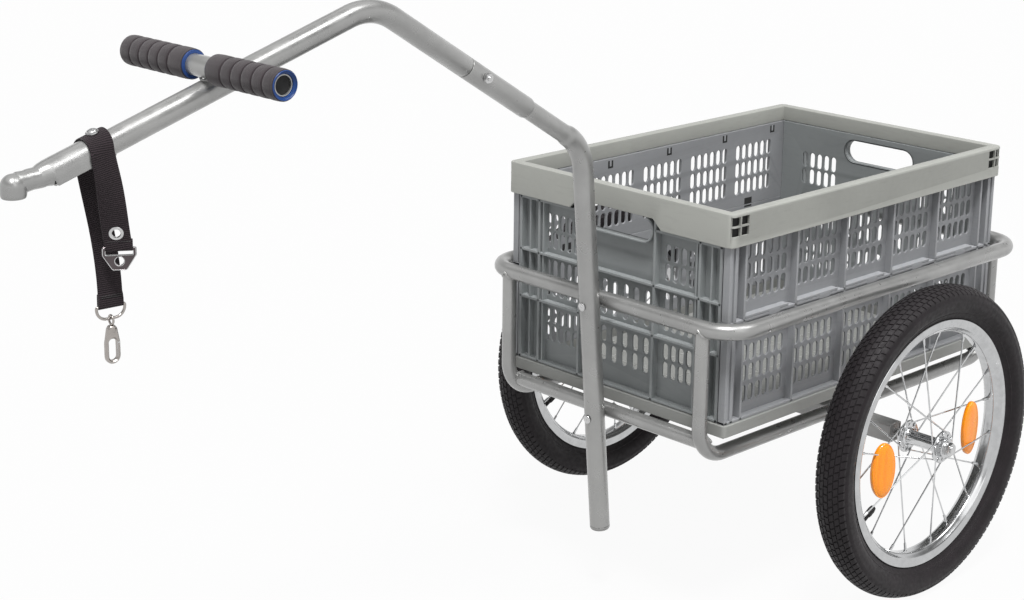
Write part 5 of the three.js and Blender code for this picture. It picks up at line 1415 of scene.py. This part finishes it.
def makeHook(place):
    half, low, wall, thickness = hook["width"] / 2, -hook["length"], hook["wall"], hook["thickness"]
    corners = [(-half * 0.6, 0), (half * 0.6, 0), (half, low * 0.45), (half, low), (-half, low)]
    corners.append((-half, low * 0.45))
    outer = flatPath(corners, [half * share for share in (0.5, 0.5, 1.4, 0.98, 0.98, 1.4)], 9)
    inside, roomTop, roomLow = half - wall, hook["roomTop"], low + wall
    corners = [(-inside, roomTop), (inside, roomTop), (inside, roomLow), (-inside, roomLow)]
    body = plateShell(outer, [flatPath(corners, inside * 0.95, 9)], thickness, 1.5)
    shells = [moved(body, layOn((0, thickness / 2, 0), xAxis, zAxis, -yAxis))]
    shells.append(rodShell(Vector(), -zAxis, hook["collar"]))
    makePiece("snapHook", shells, "nickel", ["snap_hook"], "snap_hook", place)
    gateTop, gateLow = roomTop - wall * 0.5, low + wall * 1.5
    x = wall * 0.55 - half
    gate = blockShell((x - 1.75, -2.2, gateLow + 0.3), (x + 1.55, 2.2, gateTop - 0.9), 0.9, steps=3)
    pin = sweepShell([(x, -3.1, gateTop - 2.5), (x, 3.1, gateTop - 2.5)], 1.0, 14)
    makePiece("snapHookGate", [gate, pin], "zinc", ["snap_hook_gate"], "hook_gate", place)


makeEyelet(makeStrap())
makeHangers()
boltHead = strapAt + fallUp * (strapTop + strap["thickness"] / 2 + 0.1)
makeBolt("strap", "strap", strapAt - fallUp * drawbar["radius"], boltHead, washer=True)
print("trailer: strap made")

# Crate. Its parts are made round their own middle and moved back to the crate's place.

crate = {
    "centre": 6.7,
    "halfX": 274.5,
    "halfY": 184,
    "bottom": 246.4,
    "top": 520.7,
    "corner": 8,
    "rimHeight": 40,
    "rimWidth": 14,
    "rimWall": 3,
    "lip": 20,
    "inset": 5,
    "depth": 12,
    "plate": 2.6,
    "plateEdge": 0.35,
    "plinthInset": 2,
    "plinth": 17.2,
    "floor": 4,
    "floorRibs": (3.2, 4.6),
    "split": 389,
    "rib": 3.6,
    "flange": 3.2,
    "notchRise": 12.4,
    "notchWide": 75.5,
    "notchNarrow": 62,
    "windows": [(244.4, 493.6), (259.8, 493.6), (244.4, 506.2), (259.8, 506.2)],
    "windowSize": (13.2, 10.8),
}
wallX = crate["halfX"] - crate["inset"]
wallY = crate["halfY"] - crate["inset"]
panelTop = crate["top"] - crate["lip"] - 0.3
plinthTop = crate["bottom"] + crate["plinth"]
cratePlace = Matrix.Translation((crate["centre"], 0, 0))


def crateOutline(inset):
    halfX, halfY = crate["halfX"] - inset, crate["halfY"] - inset
    notch = [crate["notchWide"], crate["notchNarrow"], -crate["notchNarrow"], -crate["notchWide"]]
    path = []
    for a, b, points in cornerPath(halfX, halfY, max(crate["corner"] - inset, 0.4), 6):
        path += points
        if a != b:
            path += [(a * halfX, mark * b) for mark in notch]
    return path


def rimLift(x, y):
    # the skirt of the front and rear steps up over the hand hole
    wide, narrow = crate["notchWide"], crate["notchNarrow"]
    if abs(x) < crate["halfX"] - 20 or abs(y) >= wide:
        return 0.0
    return crate["notchRise"] * min((wide - abs(y)) / (wide - narrow), 1)


def crateRings(profile, lifted=()):
    # from pairs of inset from the crate's outline and height; the lifted ones follow the notch
    rings = []
    for i, (inset, z) in enumerate(profile):
        path = crateOutline(inset)
        rings.append([(x, y, z + (rimLift(x, y) if i in lifted else 0)) for x, y in path])
    return rings


def makeRim():
    top, low = crate["top"], crate["top"] - crate["rimHeight"]
    wide, wall, lip, halfY = crate["rimWidth"], crate["rimWall"], crate["lip"], crate["halfY"]
    profile = [
        (0.0, low + 0.5), (0.0, top - 1.6), (0.5, top - 0.5), (1.6, top), (wide - 1.6, top),
        (wide - 0.5, top - 0.5), (wide, top - 1.6), (wide, top - lip + 0.6), (wide - 0.6, top - lip),
        (wide - 3, top - lip), (wide - 3, top - wall), (wall, top - wall), (wall, low + 0.5),
        (wall - 0.5, low), (0.5, low),
    ]
    rings = crateRings(profile, lifted=(0, 12, 13, 14))
    shell = loftShell([*rings, rings[0]], caps=False)
    rim = makePiece("crateRim", [shell], "rim_plastic", ["crate_rim"], "crate", cratePlace, sharp=40)
    windows, shadePockets = [], []
    long, tall = crate["windowSize"]
    for end in (1, -1):
        for side in (1, -1):
            for x, z in crate["windows"]:
                inner = (end * x, side * (halfY - wall - 1.2), z)
                windows.append(blockShell(inner, (end * (x + long), side * (halfY + 3), z + tall), 0))
            # dark blocks behind the windows, painted shade seen through them
            inner = (end * 243.6, side * (halfY - 6.4), 490)
            shadePockets.append(blockShell(inner, (end * 270, side * (halfY - 4.2), 517), 0.3))
    cutAway(rim, [makePiece("windowCutter", windows, "rim_plastic", body="crate", place=cratePlace)])
    rim.data.set_sharp_from_angle(angle=math.radians(40))
    makePiece("crateRimShadePockets", shadePockets, "painted_shade", body="crate", place=cratePlace)


def makeBase():
    low, inset, inner = crate["bottom"], crate["plinthInset"], crate["inset"] + crate["depth"]
    profile = [
        (inset + 5.6, low), (inset + 5.0, low + 0.6), (inset + 4.6, low + 2.4), (inset + 0.6, low + 2.6),
        (inset, low + 3.2), (inset, plinthTop - 0.6), (inset + 0.6, plinthTop), (inner, plinthTop),
        (inner, low + crate["floor"]),
    ]
    shells = [loftShell(crateRings(profile))]
    # low ribs on the floor's upper side
    foot, top = (low + rise for rise in crate["floorRibs"])
    x, y = crate["halfX"] - inner - 6, crate["halfY"] - inner - 6
    for at in range(-208, 209, 52):
        shells.append(blockShell((at - 1, -y, foot), (at + 1, y, top), 0.4))
    for at in range(-112, 113, 56):
        shells.append(blockShell((-x, at - 1, foot), (x, at + 1, top), 0.4))
    makePiece("crateBase", shells, "rim_plastic_shaded", ["crate_base"], "crate", cratePlace, sharp=40)


def wallPlace(turn, out):
    # walls are made with their inner face on y = 0
    return cratePlace @ Matrix.Rotation(turn, 4, "Z") @ Matrix.Translation((0, out - crate["depth"], 0))


def onWall(a, b, low, high, out=crate["depth"], edge=0.5):
    # a rib or flange from a to b along a wall
    return blockShell((a, 0.3, low), (b, out, high), edge)


# a thin dark patch on a wall's inner face, painted shade in a notch
def mark(x, half, low, high):
    return blockShell((x - half, -0.16, low), (x + half, 0.4, high), 0.05, 1)


def wallPanel(half, low, high, holes):
    outline = [(-half, low), (half, low), (half, high), (-half, high)]
    return moved(plateShell(outline, holes, crate["plate"], crate["plateEdge"]), upright)


sideWall = {
    "cornerBay": 29.5,
    "bays": 5,
    "columns": 6,
    "rows": 3,
    "margin": 10,
    "slotWidth": 9.4,
    "slotHeight": 21.4,
    "rowGap": 3.8,
    "lowerField": 280.2,
    "upperField": 406.2,
    "cornerPost": [(0, 5.5, 12, 0.7), (4, 10.5, 9.8, 0.7), (9.5, 15, 12, 0.7)],  # near, far, out, edge
    "clips": (-228, -104, 12, 128, 232),
    # places of dark patches of painted shade at the split
    "shadeMarks": (-184, 184),
}
bayLength = (2 * wallX - 2 * sideWall["cornerBay"]) / sideWall["bays"]


def sideHoles(fieldBottom):
    holes = []
    width, height, bays = sideWall["slotWidth"], sideWall["slotHeight"], sideWall["bays"]
    field = bayLength - 2 * sideWall["margin"]
    pitch = (field - width) / (sideWall["columns"] - 1)
    for bay in range(bays):
        first = (bay - (bays - 1) / 2) * bayLength - field / 2 + width / 2
        for column in range(sideWall["columns"]):
            for row in range(sideWall["rows"]):
                z = fieldBottom + row * (height + sideWall["rowGap"]) + height / 2
                holes.append(slotPoints(first + column * pitch, z, width, height))
    return holes


def upperFoot(z):
    # the upper half's foot is cut away beside each rib, and its tabs hook over the lower half
    shells = []
    for bay in range(sideWall["bays"]):
        x = (bay - sideWall["bays"] / 2) * bayLength
        shells.append(onWall(x + 14, x + bayLength - 2, z, z + crate["flange"]))
        tab = (x + 30, crate["depth"] - 3.2, z - 4.6), (x + 50, crate["depth"] + 0.2, z + 1.5)
        shells.append(blockShell(*tab, 0.5))
    return shells


def sideShells(level, low, high):
    flange, rib = crate["flange"], crate["rib"] / 2
    shells = [wallPanel(wallX, low, high, sideHoles(sideWall[f"{level}Field"]))]
    for i in range(sideWall["bays"] + 1):
        x = (i - sideWall["bays"] / 2) * bayLength
        shells.append(onWall(x - rib, x + rib, low, high))
    for end in (1, -1):
        # the corner post is broad, with an upright groove in it
        for near, far, out, edge in sideWall["cornerPost"]:
            shells.append(onWall(end * (wallX - near), end * (wallX - far), low, high, out, edge))
    shells.append(onWall(-wallX, wallX, high - flange, high))
    if level == "lower":
        shells.append(onWall(-wallX, wallX, low, low + flange))
        return shells + [mark(x, 8, high - 3, high - 0.5) for x in sideWall["shadeMarks"]]
    shells += upperFoot(low)
    # clips along the top edge, seen from inside, each over a dark patch of painted shade
    for x in sideWall["clips"]:
        shells.append(blockShell((x - 1.7, -0.24, high - 11), (x + 1.7, 0.6, high - 3), 0.2))
        shells.append(mark(x, 4.8, high - 13.4, high - 3.2))
    return shells + [mark(x, 8, low + 1, low + 10) for x in sideWall["shadeMarks"]]


def makeSideWalls():
    spans = {"lower": (plinthTop + 0.3, crate["split"] - 0.3), "upper": (crate["split"], panelTop)}
    for level, (low, high) in spans.items():
        shells = sideShells(level, low, high)
        for side, turn in (("left", 0), ("right", math.pi)):
            name, node = f"crate{level.capitalize()}{side.capitalize()}Wall", f"crate_side_{level}_{side}"
            used = ["wall_plastic", "painted_shade"]
            makePiece(name, shells, used, [node], "crate", wallPlace(turn, wallY), sharp=30, flatten=True)


endWall = {
    "ribs": [62, 133],
    "thinRibs": [127, 150],
    "levels": [345, 407.5],
    "gripLevel": 476,  # where the flange stops beside the hand hole
    "holeLength": 113,
    "holeHeight": 31,
    "holeBottom": 460.5,
    "lip": 2.4,
    "groups": [  # left edge, columns, pitch, slot width, row bottoms and heights
        (
            71.5, 5, 12.4, 8.4,
            [(294.3, 20.5), (317.3, 20.5), (354.2, 22.5), (379.2, 22.5), (416.3, 21.5), (440.3, 21.5)],
        ),
        (-48.5, 6, 17.6, 9, [(292.2, 21.5), (316.2, 21.5), (352.2, 45.5)]),
    ],
}


def endHoles():
    holes = []
    for left, columns, pitch, width, rows in endWall["groups"]:
        for column in range(columns):
            x = left + column * pitch + width / 2
            for bottom, tall in rows:
                for at in (x, -x) if left > 0 else (x,):
                    holes.append(slotPoints(at, bottom + tall / 2, width, tall))
    return holes


def makeEndWalls():
    depth, flange, rib, lip = crate["depth"], crate["flange"], crate["rib"] / 2, endWall["lip"]
    half, low = wallY - depth - 0.3, plinthTop + 0.9
    long, tall = endWall["holeLength"], endWall["holeHeight"]
    middle = endWall["holeBottom"] + tall / 2
    hand = slotPoints(0, middle, long, tall, 10)
    around = slotPoints(0, middle, long + 2 * lip, tall + 2 * lip, 10)
    shells = [wallPanel(half, low, panelTop, [*endHoles(), hand])]
    shells.append(moved(plateShell(around, [hand], depth, 0.6), upright))
    for sign in (1, -1):
        shells += [onWall(sign * x - rib, sign * x + rib, low, panelTop) for x in endWall["ribs"]]
        for x in endWall["thinRibs"]:
            shells.append(onWall(sign * x - 1.3, sign * x + 1.3, low, panelTop, depth - 1.5, 0.4))
        shells.append(onWall(sign * half, sign * (half - 3.6), low, panelTop))
        z = endWall["gripLevel"]
        shells.append(onWall(sign * endWall["ribs"][0], sign * half, z, z + flange))
    for z in [low, panelTop - flange, *endWall["levels"]]:
        shells.append(onWall(-half, half, z, z + flange))
    for end, turn in (("front", -math.pi / 2), ("rear", math.pi / 2)):
        name, node, body = f"crate{end.capitalize()}Wall", f"crate_end_{end}", f"crate_{end}_wall"
        makePiece(name, shells, "end_plastic", [node], body, wallPlace(turn, wallX), sharp=30, flatten=True)


makeRim()
makeBase()
makeSideWalls()
makeEndWalls()
print("trailer: crate made")
